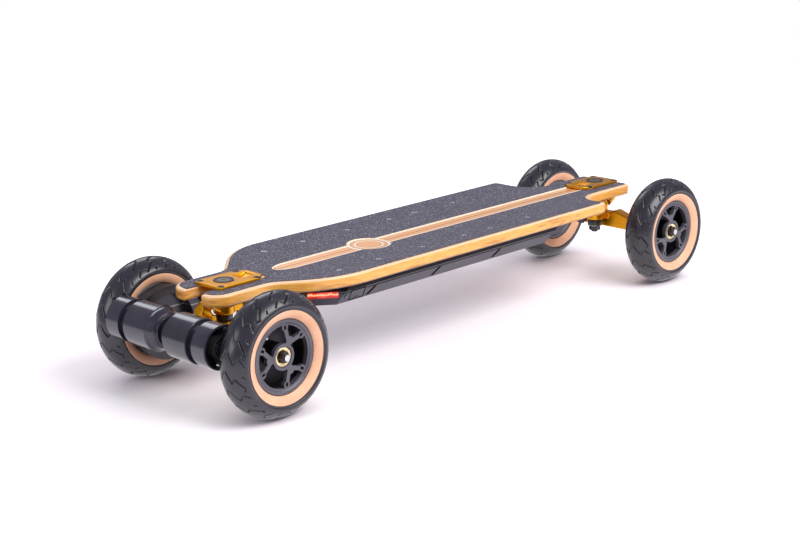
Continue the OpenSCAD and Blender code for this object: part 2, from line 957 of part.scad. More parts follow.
function tyre_side() =
    let (h = tyre_r - rim_r, w = tyre_w / 2)
    concat(
        [[seat_r + gap, bead_w - 5.7], [seat_r + gap, bead_w], [rim_r + 0.4, bead_w]],
        bezier(
            [rim_r + 0.6, rim_w / 2], [rim_r + 0.11 * h, rim_w / 2 + 3.7],
            [rim_r + 0.25 * h, w - 2.3], [rim_r + 0.41 * h, w - 1.9], 6
        ),
        bezier(
            [rim_r + 0.43 * h, w - 1.1], [rim_r + 0.52 * h, w - 0.1],
            [rim_r + 0.65 * h, w + 0.8], [rim_r + 0.8 * h, w - 2.4], 8
        ),
        bezier(
            [rim_r + 0.8 * h, w - 2.4], [rim_r + 0.92 * h, w - 6.4],
            [tyre_r, w - 16], [tyre_r, 0], 9
        )
    );
module tyre() {
    open_a = acos((seat_r + 6 - cavity_r) / cavity_a);
    inside = [
        for (i = [0:14])
            let (a = open_a * i / 14)
            [cavity_r + cavity_a * cos(a), cavity_b * sin(a)]
    ];
    side = tyre_side();
    color(rubber)
        rotate_extrude($fn = 180)
            polygon(concat(
                side,
                [for (i = [len(side) - 2:-1:0]) [side[i][0], -side[i][1]]],
                [for (i = [14:-1:0]) [inside[i][0], -inside[i][1]]],
                [for (i = [1:14]) inside[i]]
            ));
}
module tube_ring(e) {
    polygon([
        for (i = [0:27])
            let (a = 360 * i / 28)
            [cavity_r + (cavity_a - e) * cos(a), (cavity_b - e) * sin(a)]
    ]);
}
module inner_tube(spin) {
    color([0.1, 0.1, 0.1]) {
        rotate_extrude($fn = 120)
            difference() {
                tube_ring(gap);
                tube_ring(gap + 1.5);
            }
    }
    color(steel)
        rotate([0, 0, spin + 180 / spokes])
            translate([29, 0, 0])
                rotate([0, 90, 0])
                    cylinder(r = valve_r, h = cavity_r - cavity_a + gap - 29.05);
}
module bar(p, q, w) {
    translate(p)
        rotate(atan2(q[1] - p[1], q[0] - p[0]))
            translate([0, -w / 2])
                square([norm(q - p), w]);
}
// Web of a half rim: forked spokes, or a whole disc on the inner half
module spoke_web(closed) {
    hole_at = rim_r - 11.6;
    difference() {
        union() {
            difference() {
                circle(seat_r - 1);
                circle(seat_r - 2.6);
            }
            circle(closed ? seat_r - 1 : bearing_r + 4.5);
            for (k = [0:spokes - 1])
                rotate(k * 360 / spokes) {
                    bar([8, 0], [24, 0], arm_w + 3.5);
                    translate([23.5, 0])
                        circle(arm_w);
                    for (side = [-1, 1]) {
                        p = hole_at * [cos(24), side * sin(24)];
                        bar([20, 0], p, arm_w);
                        translate(p)
                            circle(5.2);
                        bar(p, p * (seat_r - 1.5) / hole_at, 8);
                    }
                }
        }
        if (!closed)
            for (k = [0:spokes - 1], side = [-1, 1])
                rotate(k * 360 / spokes + side * 24) {
                    bar([hole_at - 1.8, 0], [hole_at + 0.4, 0], 3.9);
                    for (end = [-1.8, 0.4])
                        translate([hole_at + end, 0])
                            circle(2.1);
                }
        circle(bearing_r + 0.2);
    }
}
module half_rim(spin, closed) {
    difference() {
        union() {
            rotate_extrude($fn = 120)
                polygon([
                    [seat_r - 2.5, fit], [seat_r, fit], [seat_r, bead_w + gap],
                    [rim_r - 1, bead_w + gap], [rim_r, bead_w + gap + 1], [rim_r, rim_w / 2 - 0.8],
                    [rim_r - 0.8, rim_w / 2], [rim_r - 4.5, rim_w / 2], [rim_r - 6.5, rim_w / 2 - 1.9],
                    [seat_r - 2.5, rim_w / 2 - 1.9]
                ]);
            translate([0, 0, rim_w / 2 - 7.9])
                rotate(spin)
                    linear_extrude(6)
                        spoke_web(closed);
            translate([0, 0, fit])
                cylinder(r = bearing_r + 3, h = rim_w / 2 - 2.9);
        }
        translate([0, 0, -1])
            cylinder(r = bearing_r - 3, h = 40);
        translate([0, 0, bearing_in])
            cylinder(r = bearing_r + fit, h = 40);
        rotate([0, 0, spin + 180 / spokes])
            translate([20, 0, 0])
                rotate([0, 90, 0])
                    cylinder(r = valve_r + gap, h = 40);
    }
}
module rim(spin) {
    color(dark) {
        half_rim(spin, false);
        mirror([0, 0, 1])
            half_rim(spin, true);
    }
}
module bearings() {
    color(steel)
        for (side = [0, 1])
            mirror([0, 0, side])
                translate([0, 0, bearing_in])
                    rotate_extrude()
                        polygon([
                            [axle_r + running, 0], [bearing_r, 0], [bearing_r, bearing_w],
                            [bearing_r - 2.2, bearing_w], [bearing_r - 2.2, bearing_w - 0.8],
                            [axle_r + 2, bearing_w - 0.8], [axle_r + 2, bearing_w],
                            [axle_r + running, bearing_w]
                        ]);
    color(steel)
        difference() {
            cylinder(r = axle_r + 2, h = 2 * (bearing_in - fit), center = true);
            cylinder(r = axle_r + running, h = 4 * bearing_in, center = true);
        }
}

// Belt drive of the rear wheels, drawn for the left side with u running out behind the axle

wheel_pitch_r = wheel_teeth * tooth_pitch / (2 * PI);
motor_pitch_r = motor_teeth * tooth_pitch / (2 * PI);
tooth_in = 0.57;
tooth_h = 2;
belt_t = 2.2;
shaft_at = [motor_out, motor_up];
wheel_y = rear_track / 2;
belt_y1 = wheel_y - tyre_w / 2 - 3;
belt_y0 = belt_y1 - belt_w;
can_y0 = motor_gap / 2 + motor_cap_l;
mount_y0 = can_y0 + motor_l;
mount_y1 = mount_y0 + mount_t;
cup_y1 = wheel_y - tyre_w / 2 - 2;
cup_floor = 3;
cup_wall = 3;
mount_r = motor_r - 7.5;
shaft_r = 4;

module left_side() {
    translate([rear_x, 0, axle_z])
        mirror([1, 0, 0])
            children();
}
module right_side() {
    mirror([0, 1, 0])
        left_side()
            children();
}
// Extrudes an outline in (u, z) from y0 to y1
module across(y0, y1) {
    translate([0, y1, 0])
        rotate([90, 0, 0])
            linear_extrude(y1 - y0)
                children();
}
// Loop round two circles, r0 about the axle and r1 about the motor's shaft; its straight
// runs start just inside the circles
sink = 0.02;
module loop(r0, r1) {
    d = norm(shaft_at);
    dir = atan2(shaft_at[1], shaft_at[0]);
    b = acos((r0 - r1) / d);
    p0 = r0 - sink;
    p1 = r1 - sink;
    circle(r0, $fn = 180);
    translate(shaft_at)
        circle(r1, $fn = 120);
    polygon([
        p0 * [cos(dir + b), sin(dir + b)],
        p0 * [cos(dir - b), sin(dir - b)],
        shaft_at + p1 * [cos(dir - b), sin(dir - b)],
        shaft_at + p1 * [cos(dir + b), sin(dir + b)]
    ]);
}
// Outline of a toothed pulley: rounded grooves between flat tips
module toothed(teeth, pitch_r) {
    tip = pitch_r - tooth_in;
    polygon([
        for (i = [0:teeth - 1], k = [0:5])
            let (
                a = 360 * (i + [0.0, 0.34, 0.42, 0.58, 0.76, 0.92][k]) / teeth,
                r = tip - [0, 0, 0.75, 1, 1, 0.75][k] * tooth_h
            )
            r * [cos(a), sin(a)]
    ]);
}
module motor() {
    color(dark)
        rotate([-90, 0, 0])
            translate([motor_out, -motor_up, 0])
                difference() {
                    rotate_extrude($fn = 120)
                        polygon([
                            [0, motor_gap / 2], [motor_r - 11, motor_gap / 2],
                            [motor_r - 10, motor_gap / 2 + 1], [motor_r - 10, motor_gap / 2 + 3.5],
                            [motor_r - 7, motor_gap / 2 + 5], [motor_r - 2.8, can_y0 - 4.5],
                            [motor_r - 2.8, can_y0 - 2.5], [motor_r - 1.2, can_y0 - 1.5],
                            [motor_r, can_y0], [motor_r, mount_y0 - 1], [motor_r - 1, mount_y0],
                            [0, mount_y0]
                        ]);
                    translate([0, 0, mount_y0 - 20])
                        cylinder(r = shaft_r + running, h = 30);
                }
}
module motor_mount() {
    color(dark)
        difference() {
            union() {
                across(mount_y0, mount_y1)
                    loop(arm_s / 2 + 8, mount_r);
                across(mount_y1 - 0.5, cup_y1)
                    translate(shaft_at)
                        circle(motor_r - 0.8);
            }
            across(mount_y1 + cup_floor, cup_y1 + 5)
                translate(shaft_at)
                    circle(motor_r - 0.8 - cup_wall);
            across(belt_y0 - 5, cup_y1 + 5)
                loop(wheel_pitch_r + belt_t + 3, motor_pitch_r + belt_t + 3);
            across(mount_y0 - 5, mount_y1 + 5)
                square(arm_s + 2 * fit, center = true);
            across(mount_y0 - 5, mount_y1 + cup_floor + 5)
                translate(shaft_at)
                    circle(shaft_r + 2);
        }
}
module belt() {
    r0 = wheel_pitch_r - tooth_in + gap;
    r1 = motor_pitch_r - tooth_in + gap;
    d = norm(shaft_at);
    dir = atan2(shaft_at[1], shaft_at[0]);
    b = acos((r0 - r1) / d);
    run = sqrt(d * d - pow(r0 - r1, 2));
    color(rubber)
        across(belt_y0, belt_y1)
            difference() {
                loop(r0 + belt_t, r1 + belt_t);
                difference() {
                    loop(r0, r1);
                    for (side = [-1, 1], s = [18:tooth_pitch:run - 9])
                        translate(r0 * [cos(dir + side * b), sin(dir + side * b)])
                            rotate(dir + side * b - side * 90)
                                translate([s, side * (-tooth_h / 2 + 0.5)])
                                    square([2.6, tooth_h + 1], center = true);
                }
            }
}
module motor_pulley() {
    color(steel) {
        difference() {
            union() {
                across(belt_y0 - 0.4, belt_y1 + 0.6)
                    translate(shaft_at)
                        toothed(motor_teeth, motor_pitch_r);
                across(belt_y0 - 1.6, belt_y0 - 0.4)
                    translate(shaft_at)
                        circle(motor_pitch_r + 2);
            }
            across(0, 2 * wheel_y)
                translate(shaft_at)
                    circle(shaft_r + fit);
        }
        across(mount_y0 - 19, belt_y1 + 0.6)
            translate(shaft_at)
                circle(shaft_r);
    }
}
module wheel_pulley() {
    tip = wheel_pitch_r - tooth_in;
    rim_y = wheel_y - rim_w / 2 + 1.9;
    color(dark)
        difference() {
            union() {
                across(belt_y0 - 0.5, belt_y1 + 0.5)
                    toothed(wheel_teeth, wheel_pitch_r);
                across(belt_y0 - 2, belt_y0 - 0.5)
                    circle(tip + 3.4);
                across(belt_y1 + 0.5, belt_y1 + 2)
                    circle(tip + 3.4);
                across(belt_y1 + 1, rim_y - fit)
                    circle(seat_r - 3.2);
            }
            across(0, belt_y1 - 1)
                circle(seat_r - 4);
            across(0, 2 * wheel_y)
                circle(bearing_r + 8);
        }
}

// Places a wheel with its outer face to the left (1) or the right (-1)
module front_wheel(side) {
    translate([front_x, side * front_track / 2, axle_z])
        rotate([-90 * side, 0, 0])
            children();
}
module rear_wheel(side) {
    translate([rear_x, side * rear_track / 2, axle_z])
        rotate([-90 * side, 0, 0])
            children();
}
front_spin = 97;
rear_spin = 60;
front_arm = front_track / 2 - 22;
rear_arm = belt_y0 - 5;

deck();
grip_tape();
enclosure();
enclosure_gasket();
enclosure_screws();
battery_pack();
motor_controller();
charge_port();
port_cover();
power_button();
tail_lights();

front_truck() truck_base();  // front_truck_base
rear_truck() truck_base();  // rear_truck_base
base_screws();
base_caps();
upper_kingpins();
front_truck() upper_bushings();  // front_upper_bushings
rear_truck() upper_bushings();  // rear_upper_bushings
upper_pivot_cups();

front_truck() link();  // front_link
front_truck() lower_kingpin();  // front_lower_kingpin
front_truck() lower_bushings();  // front_lower_bushings
front_truck() lower_pivot_cup();  // front_lower_pivot_cup
rear_truck() link();  // rear_link
rear_truck() lower_kingpin();  // rear_lower_kingpin
rear_truck() lower_bushings();  // rear_lower_bushings
rear_truck() lower_pivot_cup();  // rear_lower_pivot_cup

front_truck() hanger(front_arm, front_track / 2);  // front_hanger
front_truck() axle(front_track);  // front_axle
front_truck() axle_nuts(front_track);  // front_axle_nuts
rear_truck() hanger(rear_arm, rear_track / 2);  // rear_hanger
rear_truck() axle(rear_track);  // rear_axle
rear_truck() axle_nuts(rear_track);  // rear_axle_nuts

front_wheel(1) tyre();  // front_left_tyre
front_wheel(1) inner_tube(front_spin);  // front_left_inner_tube
front_wheel(1) rim(front_spin);  // front_left_rim
front_wheel(1) bearings();  // front_left_bearings

front_wheel(-1) tyre();  // front_right_tyre
front_wheel(-1) inner_tube(front_spin);  // front_right_inner_tube
front_wheel(-1) rim(front_spin);  // front_right_rim
front_wheel(-1) bearings();  // front_right_bearings

rear_wheel(1) tyre();  // rear_left_tyre
rear_wheel(1) inner_tube(rear_spin);  // rear_left_inner_tube
rear_wheel(1) rim(rear_spin);  // rear_left_rim
rear_wheel(1) bearings();  // rear_left_bearings

rear_wheel(-1) tyre();  // rear_right_tyre
rear_wheel(-1) inner_tube(rear_spin);  // rear_right_inner_tube
rear_wheel(-1) rim(rear_spin);  // rear_right_rim
rear_wheel(-1) bearings();  // rear_right_bearings

left_side() wheel_pulley();  // rear_left_wheel_pulley
right_side() wheel_pulley();  // rear_right_wheel_pulley
left_side() motor();  // left_motor
left_side() motor_mount();  // left_motor_mount
left_side() belt();  // left_belt
left_side() motor_pulley();  // left_motor_pulley
right_side() motor();  // right_motor
right_side() motor_mount();  // right_motor_mount
right_side() belt();  // right_belt
right_side() motor_pulley();  // right_motor_pulley
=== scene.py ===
import math

import bmesh
import bpy
import numpy as np
from mathutils import Matrix, Vector


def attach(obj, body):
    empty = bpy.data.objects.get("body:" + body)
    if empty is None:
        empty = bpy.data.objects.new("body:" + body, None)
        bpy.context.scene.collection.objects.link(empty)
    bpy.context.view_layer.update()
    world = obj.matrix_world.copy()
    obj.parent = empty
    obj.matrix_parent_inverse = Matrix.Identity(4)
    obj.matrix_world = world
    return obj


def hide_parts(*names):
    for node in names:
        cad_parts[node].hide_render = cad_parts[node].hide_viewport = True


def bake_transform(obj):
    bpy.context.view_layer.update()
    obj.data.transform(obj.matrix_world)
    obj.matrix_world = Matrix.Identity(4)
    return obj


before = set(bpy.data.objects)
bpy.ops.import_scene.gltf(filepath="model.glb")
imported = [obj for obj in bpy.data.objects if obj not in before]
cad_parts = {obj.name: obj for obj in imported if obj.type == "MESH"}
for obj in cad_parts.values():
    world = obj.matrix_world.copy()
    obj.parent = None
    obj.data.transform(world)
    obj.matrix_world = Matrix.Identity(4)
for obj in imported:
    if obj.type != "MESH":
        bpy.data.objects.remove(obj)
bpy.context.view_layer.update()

# ---- Camera
# The board is seen from behind its right side, from a little above the deck, with a long lens
# that hardly narrows the far end. The camera leans one degree.

focal_px, frame_px, sensor_mm = 1719.95, 800.0, 36.0
camera_distance = 2.6797
aimed_at = Vector((-0.0247, 0.0353, 0.0929))
camera_data = bpy.data.cameras.new("camera")
camera = bpy.data.objects.new("camera", camera_data)
bpy.context.scene.collection.objects.link(camera)
camera_data.sensor_width = sensor_mm
camera_data.sensor_fit = "HORIZONTAL"
camera_data.lens = focal_px * sensor_mm / frame_px
camera_data.clip_end = 40.0
camera_azimuth = math.radians(-45.71)
camera_elevation = math.radians(15.20)
camera_lean = math.radians(-0.99)
camera_back = Vector((
    math.sin(camera_azimuth) * math.cos(camera_elevation),
    -math.cos(camera_azimuth) * math.cos(camera_elevation),
    math.sin(camera_elevation),
))
camera_right = Vector((math.cos(camera_azimuth), math.sin(camera_azimuth), 0.0))
camera_up = camera_back.cross(camera_right)
leaned_right = camera_right * math.cos(camera_lean) + camera_up * math.sin(camera_lean)
leaned_up = camera_back.cross(leaned_right)
camera_turn = Matrix((leaned_right, leaned_up, camera_back)).transposed().to_4x4()
camera_place = aimed_at + camera_back * camera_distance
camera.matrix_world = Matrix.Translation(camera_place) @ camera_turn
bpy.context.scene.camera = camera
bpy.context.scene.view_settings.view_transform = "Standard"

# ---- Studio
# A pale paper floor that runs out into white, one broad soft lamp high on the near side, two
# softer panels that fill the near side and the rear end, and one behind for the round forms.


def adder(tree):
    """A function that adds a node to a tree. It takes the node's inputs, each a number, a colour
    or another node's output, and gives back one output, or the whole node where out is None."""

    def add(kind, inputs=None, out=0, **settings):
        node = tree.nodes.new(kind)
        for key, value in settings.items():
            setattr(node, key, value)
        for key, value in (inputs or {}).items():
            if isinstance(value, bpy.types.NodeSocket):
                tree.links.new(value, node.inputs[key])
            else:
                node.inputs[key].default_value = value
        return node if out is None else node.outputs[out]

    return add


def shader(name, **levels):
    """A new material, its Principled shader with the levels set (_ stands for the space in a
    level's name), its adder and the object's own coordinates. Each finish keeps the last three as
    surface, add and place, and the functions below work on the ones that are kept."""
    material = bpy.data.materials.new(name)
    material.use_nodes = True
    surface = material.node_tree.nodes["Principled BSDF"]
    for level, value in levels.items():
        surface.inputs[level.replace("_", " ")].default_value = value
    add = adder(material.node_tree)
    return material, surface, add, add("ShaderNodeTexCoord", out="Object")


def span(value, from_low, from_high, to_low=0.0, to_high=1.0, **settings):
    """A value carried from one range to another, and held at both ends."""
    ranges = {"From Min": from_low, "From Max": from_high, "To Min": to_low, "To Max": to_high}
    return add("ShaderNodeMapRange", {"Value": value, **ranges}, **settings)


def maths(operation, *values):
    """One step of arithmetic on values."""
    return add("ShaderNodeMath", dict(enumerate(values)), operation=operation)


def grid_faces(rows, columns, close_rows=False, close_columns=False, start=0):
    """Quads between the points of a rows by columns grid, closed round either way if asked."""
    r = np.arange(rows if close_rows else rows - 1)[:, None]
    c = np.arange(columns if close_columns else columns - 1)[None, :]
    r1, c1 = (r + 1) % rows, (c + 1) % columns
    quads = np.stack([r * columns + c, r * columns + c1, r1 * columns + c1, r1 * columns + c], -1)
    return quads.reshape(-1, 4) + start


floor_sides = 96
floor_turn = 2.0 * math.pi * np.arange(floor_sides) / floor_sides
floor_ring = np.array([0.4, 0.8, 1.3, 1.9, 2.6, 3.6, 5.0])[:, None]
floor_x, floor_y = floor_ring * np.cos(floor_turn), floor_ring * np.sin(floor_turn)
floor_grid = np.stack([floor_x, floor_y, 0.0 * floor_x], -1)
floor_points = [(0.0, 0.0, 0.0)] + floor_grid.reshape(-1, 3).tolist()
floor_faces = [(0, 1 + i, 1 + (i + 1) % floor_sides) for i in range(floor_sides)]
ring_faces = grid_faces(len(floor_ring), floor_sides, close_columns=True, start=1)[:, ::-1]
floor_faces += ring_faces.tolist()
floor_mesh = bpy.data.meshes.new("paper_floor")
floor_mesh.from_pydata(floor_points, [], floor_faces)
floor = bpy.data.objects.new("paper_floor", floor_mesh)
bpy.context.scene.collection.objects.link(floor)

# Round the board the paper hardly glows, so the lamps' shade shows on it; that dim zone is centred
# just past the board's left edge. Where things stand close above the paper the glow dies out, which
# paints shade under them. It glows more further out, so that it reaches white there, and always
# glows in reflections. From 1 m on it fades away.
paper, surface, add, place = shader(
    "studio_paper", Base_Color=(0.90, 0.83, 0.89, 1.0), Roughness=1.0, Specular_IOR_Level=0.0)
rays = add("ShaderNodeLightPath", out=None)
drawn_out = add("ShaderNodeVectorMath", {0: place, 1: (1.0, 2.4, 1.0)}, operation="MULTIPLY")
behind_board = {0: drawn_out, 1: (0.0, 0.32, 0.0)}
from_shade = add("ShaderNodeVectorMath", behind_board, "Value", operation="DISTANCE")
outward = span(from_shade, 0.30, 0.95, 0.14, 0.62)
nearby = add("ShaderNodeAmbientOcclusion", {"Distance": 0.08}, "AO", samples=12)
# Where the occlusion is high the glow falls to nothing: painted shade under the board and wheels.
painted_contact_shade = span(nearby, 0.35, 0.95, 0.0, outward)
mirrored = maths("MULTIPLY", rays.outputs["Is Glossy Ray"], 0.6)
glow_strength = maths("MULTIPLY_ADD", rays.outputs["Is Camera Ray"], painted_contact_shade, mirrored)
glow = add("ShaderNodeEmission", {"Color": (1.0, 1.0, 1.0, 1.0), "Strength": glow_strength})
lit = add("ShaderNodeAddShader", {0: surface.outputs[0], 1: glow})
away = add("ShaderNodeVectorMath", {0: place}, "Value", operation="LENGTH")
fade = span(away, 1.0, 2.4, interpolation_type="SMOOTHSTEP")
ending = add("ShaderNodeMixShader", {0: fade, 1: lit, 2: add("ShaderNodeBsdfTransparent")})
floor_tree = paper.node_tree
floor_tree.links.new(ending, floor_tree.nodes["Material Output"].inputs["Surface"])
floor.data.materials.append(paper)

# The room is a dim even light, and plain white where the camera looks past the floor
world = bpy.data.worlds.new("studio")
bpy.context.scene.world = world
world.use_nodes = True
sky = world.node_tree
sky.nodes["Background"].inputs["Color"].default_value = (0.91, 0.89, 1.0, 1.0)
sky.nodes["Background"].inputs["Strength"].default_value = 0.43
add = adder(sky)
rays = add("ShaderNodeLightPath", out=None)
direct = maths("MAXIMUM", rays.outputs["Is Camera Ray"], rays.outputs["Is Transmission Ray"])
white = add("ShaderNodeBackground", {"Color": (1.0, 1.0, 1.0, 1.0), "Strength": 1.0})
room = sky.nodes["Background"].outputs[0]
choice = add("ShaderNodeMixShader", {0: direct, 1: room, 2: white})
sky.links.new(choice, sky.nodes["World Output"].inputs["Surface"])


def panel(name, spot, aim, size, power, tint):
    """A soft rectangular lamp at a spot, facing aim. Places and sizes are in metres."""
    lamp = bpy.data.lights.new(name, "AREA")
    lamp.shape = "RECTANGLE"
    lamp.size, lamp.size_y = size
    lamp.energy = power
    lamp.color = tint
    holder = bpy.data.objects.new(name, lamp)
    bpy.context.scene.collection.objects.link(holder)
    holder.rotation_euler = (Vector(aim) - Vector(spot)).to_track_quat("-Z", "Y").to_euler()
    holder.location = spot


panel("key_panel", (0.35, -1.75, 1.95), (0.0, 0.0, 0.1), (2.2, 1.2), 58.0, (1.0, 0.985, 0.97))
panel("rear_panel", (-2.6, 0.5, 1.1), (-0.3, 0.0, 0.1), (1.2, 1.4), 17.0, (0.97, 0.98, 1.0))
panel("side_panel", (0.2, -2.8, 1.2), (0.0, 0.0, 0.1), (2.4, 1.2), 4.0, (1.0, 0.99, 1.0))
panel("back_panel", (0.9, 2.1, 1.85), (-0.2, 0.0, 0.1), (1.6, 0.8), 14.0, (0.97, 0.96, 1.0))

# ---- Deck
# Pressed plies of bamboo, 17 mm thick and hollowed across its width, with its top and bottom
# edges rounded over. The plies run level round the edge. Lacquered, with a slot at each end.

# Millimetres, as in the solids: the trucks' middles, then the deck's sizes, and how far its ends,
# shoulders and wings lie from those middles
MM = 0.001
rear_x, front_x = -438.25, 448.75
deck_top, deck_t, deck_w, neck_w, concave_r = 154.5, 17.0, 240.0, 103.0, 1100.0
rear_over, front_over, shoulder_in, wing_in, wing_l = 28.5, 6.0, 188.5, 149.5, 19.0
slot_w, slot_in = 35.0, 84.0


def arc_corner(before, corner, after, radius, step):
    """Points, a step of so many degrees apart, on the circle of a radius that touches both lines
    of a corner, in turn order. Its middle lies radius / sin(half the angle) from the corner."""
    u = (before - corner) / np.linalg.norm(before - corner)
    v = (after - corner) / np.linalg.norm(after - corner)
    half = math.acos(max(-1.0, min(1.0, float(u @ v)))) / 2
    middle = corner + (u + v) / np.linalg.norm(u + v) * radius / math.sin(half)
    s = corner + u * radius / math.tan(half) - middle
    e = corner + v * radius / math.tan(half) - middle
    turn = math.atan2(s[0] * e[1] - s[1] * e[0], float(s @ e))
    count = max(3, int(abs(math.degrees(turn)) / step) + 2)
    a = math.atan2(s[1], s[0]) + turn * np.linspace(0, 1, count)
    return middle + radius * np.stack([np.cos(a), np.sin(a)], 1)


def rounded_outline(corners, step):
    """A closed outline from corners (x, y, radius), each an arc that touches its two lines."""
    places = [np.array(corner[:2]) for corner in corners]
    after = places[1:] + places[:1]
    return np.concatenate([
        arc_corner(places[i - 1], places[i], after[i], corner[2], step)
        for i, corner in enumerate(corners)
    ])


def deck_height(y):
    """Height of the deck's top: a circle across the board that is lowest in the middle."""
    return deck_top + concave_r - np.sqrt(concave_r ** 2 - y ** 2)


deck_rear, deck_front, wing_x = rear_x - rear_over, front_x + front_over, front_x - wing_in
full_x = rear_x + shoulder_in - math.tan(math.radians(22.5)) * deck_w / 2
half_deck = [
    (rear_x + slot_in, slot_w / 2, 3.0),
    (deck_rear, slot_w / 2, 4.0),
    (deck_rear, neck_w / 2, 26.0),
    (full_x - (deck_w - neck_w) / 2, neck_w / 2, 30.0),
    (full_x, deck_w / 2, deck_w / 2),
    (wing_x, deck_w / 2, 14.0),
    (wing_x + wing_l, neck_w / 2, 50.0),
    (deck_front, neck_w / 2, 12.0),
    (deck_front, slot_w / 2, 4.0),
    (front_x - slot_in, slot_w / 2, 3.0),
]
deck_corners = half_deck + [(x, -y, r) for x, y, r in reversed(half_deck)]
deck_loop = rounded_outline(deck_corners, 5.0)
apart = np.linalg.norm(deck_loop - np.roll(deck_loop, 1, 0), axis=1)
deck_loop = deck_loop[apart > 0.05]
# Long straight runs get points of their own, so the curve across the deck shows on them
filled = []
for p, q in zip(deck_loop, np.roll(deck_loop, -1, 0)):
    n = max(1, int(np.linalg.norm(q - p) / 8.0))
    filled.append(p + (q - p) * np.arange(n)[:, None] / n)
# The corners above run clockwise; turned round, so that the left of each step points inwards
deck_loop = np.concatenate(filled)[::-1]
ahead = np.roll(deck_loop, -1, 0) - deck_loop
ahead /= np.linalg.norm(ahead, axis=1)[:, None]
behind = np.roll(ahead, 1, 0)
inward = np.stack([-(ahead + behind)[:, 1], (ahead + behind)[:, 0]], 1)
inward /= np.linalg.norm(inward, axis=1)[:, None]
inward /= np.maximum(0.5, np.sum(inward * np.stack([-ahead[:, 1], ahead[:, 0]], 1), 1))[:, None]
# Profile of the edge from the top face round to the bottom face: (inset, depth)
edge = np.array([
    (4.6, 0.0), (2.9, 0.35), (1.5, 1.1), (0.5, 2.3), (0.05, 3.9), (0, 6.0), (0, 11.0), (0.05, 13.6),
    (0.5, 15.0), (1.4, 16.2), (2.9, 17.0),
])
loops = []
for inset, depth in edge:
    xy = deck_loop + inward * inset
    loops.append(np.column_stack([xy, deck_height(xy[:, 1]) - depth]))
around = len(deck_loop)
deck_points = np.concatenate(loops)
deck_faces = grid_faces(len(edge), around, close_columns=True)[:, ::-1]


def on_a_face(vert):
    """Whether a corner lies on the deck's top or bottom: its depth is within 1.2 mm of 0 or t."""
    depth = deck_height(vert.co.y / MM) - vert.co.z / MM
    return min(abs(depth), abs(depth - deck_t)) < 1.2


# Both faces are cut into strips along the board, 6 mm wide, so that they can follow the hollow
strip_lines = np.arange(-114.0, 114.1, 6.0)
bm = bmesh.new()
verts = [bm.verts.new(p * MM) for p in deck_points]
for f in deck_faces:
    bm.faces.new([verts[i] for i in f])
caps = [bm.faces.new(verts[:around]), bm.faces.new(list(reversed(verts[-around:])))]
for y in strip_lines:
    cap_edges, cap_verts = {e for f in caps for e in f.edges}, {v for f in caps for v in f.verts}
    bmesh.ops.bisect_plane(
        bm, geom=caps + list(cap_edges) + list(cap_verts), dist=1e-7,
        plane_co=(0, y * MM, 0), plane_no=(0, 1, 0))
    caps = [f for f in bm.faces if abs(f.normal.z) > 0.9 and all(map(on_a_face, f.verts))]
bm.normal_update()
deck_mesh = bpy.data.meshes.new("bamboo_deck")
bmesh.ops.triangulate(bm, faces=[f for f in bm.faces if len(f.verts) > 4])
bm.to_mesh(deck_mesh)
bm.free()

# Points near the top or bottom are laid exactly on it, and each keeps its depth below the top
deck_points = np.zeros(len(deck_mesh.vertices) * 3)
deck_mesh.vertices.foreach_get("co", deck_points)
deck_points = deck_points.reshape(-1, 3)
top_here = deck_height(deck_points[:, 1] / MM)
depth = top_here - deck_points[:, 2] / MM
depth = np.where(depth < 0.3, 0.0, np.where(depth > 16.5, deck_t, depth))
deck_points[:, 2] = (top_here - depth) * MM
deck_mesh.vertices.foreach_set("co", deck_points.ravel())
ply = deck_mesh.attributes.new("ply_depth", "FLOAT", "POINT")
ply.data.foreach_set("value", depth.astype(np.float32))
deck_mesh.polygons.foreach_set("use_smooth", np.full(len(deck_mesh.polygons), True))
bamboo_deck = bpy.data.objects.new("bamboo_deck", deck_mesh)
bpy.context.scene.collection.objects.link(bamboo_deck)
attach(bamboo_deck, "board")
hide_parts("deck")


def noise(scale, detail, roughness=0.5, stretch=None):
    """Clouds from 0 to 1 on the object's own coordinates, which may be stretched first."""
    where = place
    if stretch:
        where = add("ShaderNodeMapping", {"Vector": place, "Scale": stretch})
    levels = {"Scale": scale, "Detail": detail, "Roughness": roughness}
    return add("ShaderNodeTexNoise", {"Vector": where, **levels})


def ramp(value, low, high, start=0.0, end=1.0):
    """A colour that runs from low to high while the value goes from start to end."""
    node = add("ShaderNodeValToRGB", {"Fac": value}, None)
    for stop, position, colour in zip(node.color_ramp.elements, (start, end), (low, high)):
        stop.position, stop.color = position, colour
    return node.outputs[0]


def over(value, low, soft=0.0004):
    """1 where a value is over low and 0 where it is under it, with a soft width between."""
    return span(value, low - soft, low + soft)


def under(value, high, soft=0.0004):
    """1 where a value is under high and 0 where it is over it, with a soft width between."""
    return span(value, high - soft, high + soft, 1.0, 0.0)


def band(value, low, high, soft=0.0004):
    """1 where low < value < high, falling to 0 over a soft width on both sides."""
    return maths("MULTIPLY", over(value, low, soft), under(value, high, soft))


def laid(ground, share, colour, **settings):
    """A colour laid over another one by a share."""
    mixed = {0: share, 6: ground, 7: colour}
    return add("ShaderNodeMix", mixed, 2, data_type="RGBA", **settings)


def feed(level, output):
    """Leads a node's output to one of the shader's inputs."""
    surface.id_data.links.new(output, surface.inputs[level])


def bump(height, strength, distance):
    """Lets a height value raise the surface, by the distance in metres at full strength."""
    levels = {"Height": height, "Strength": strength, "Distance": distance}
    feed("Normal", add("ShaderNodeBump", levels))


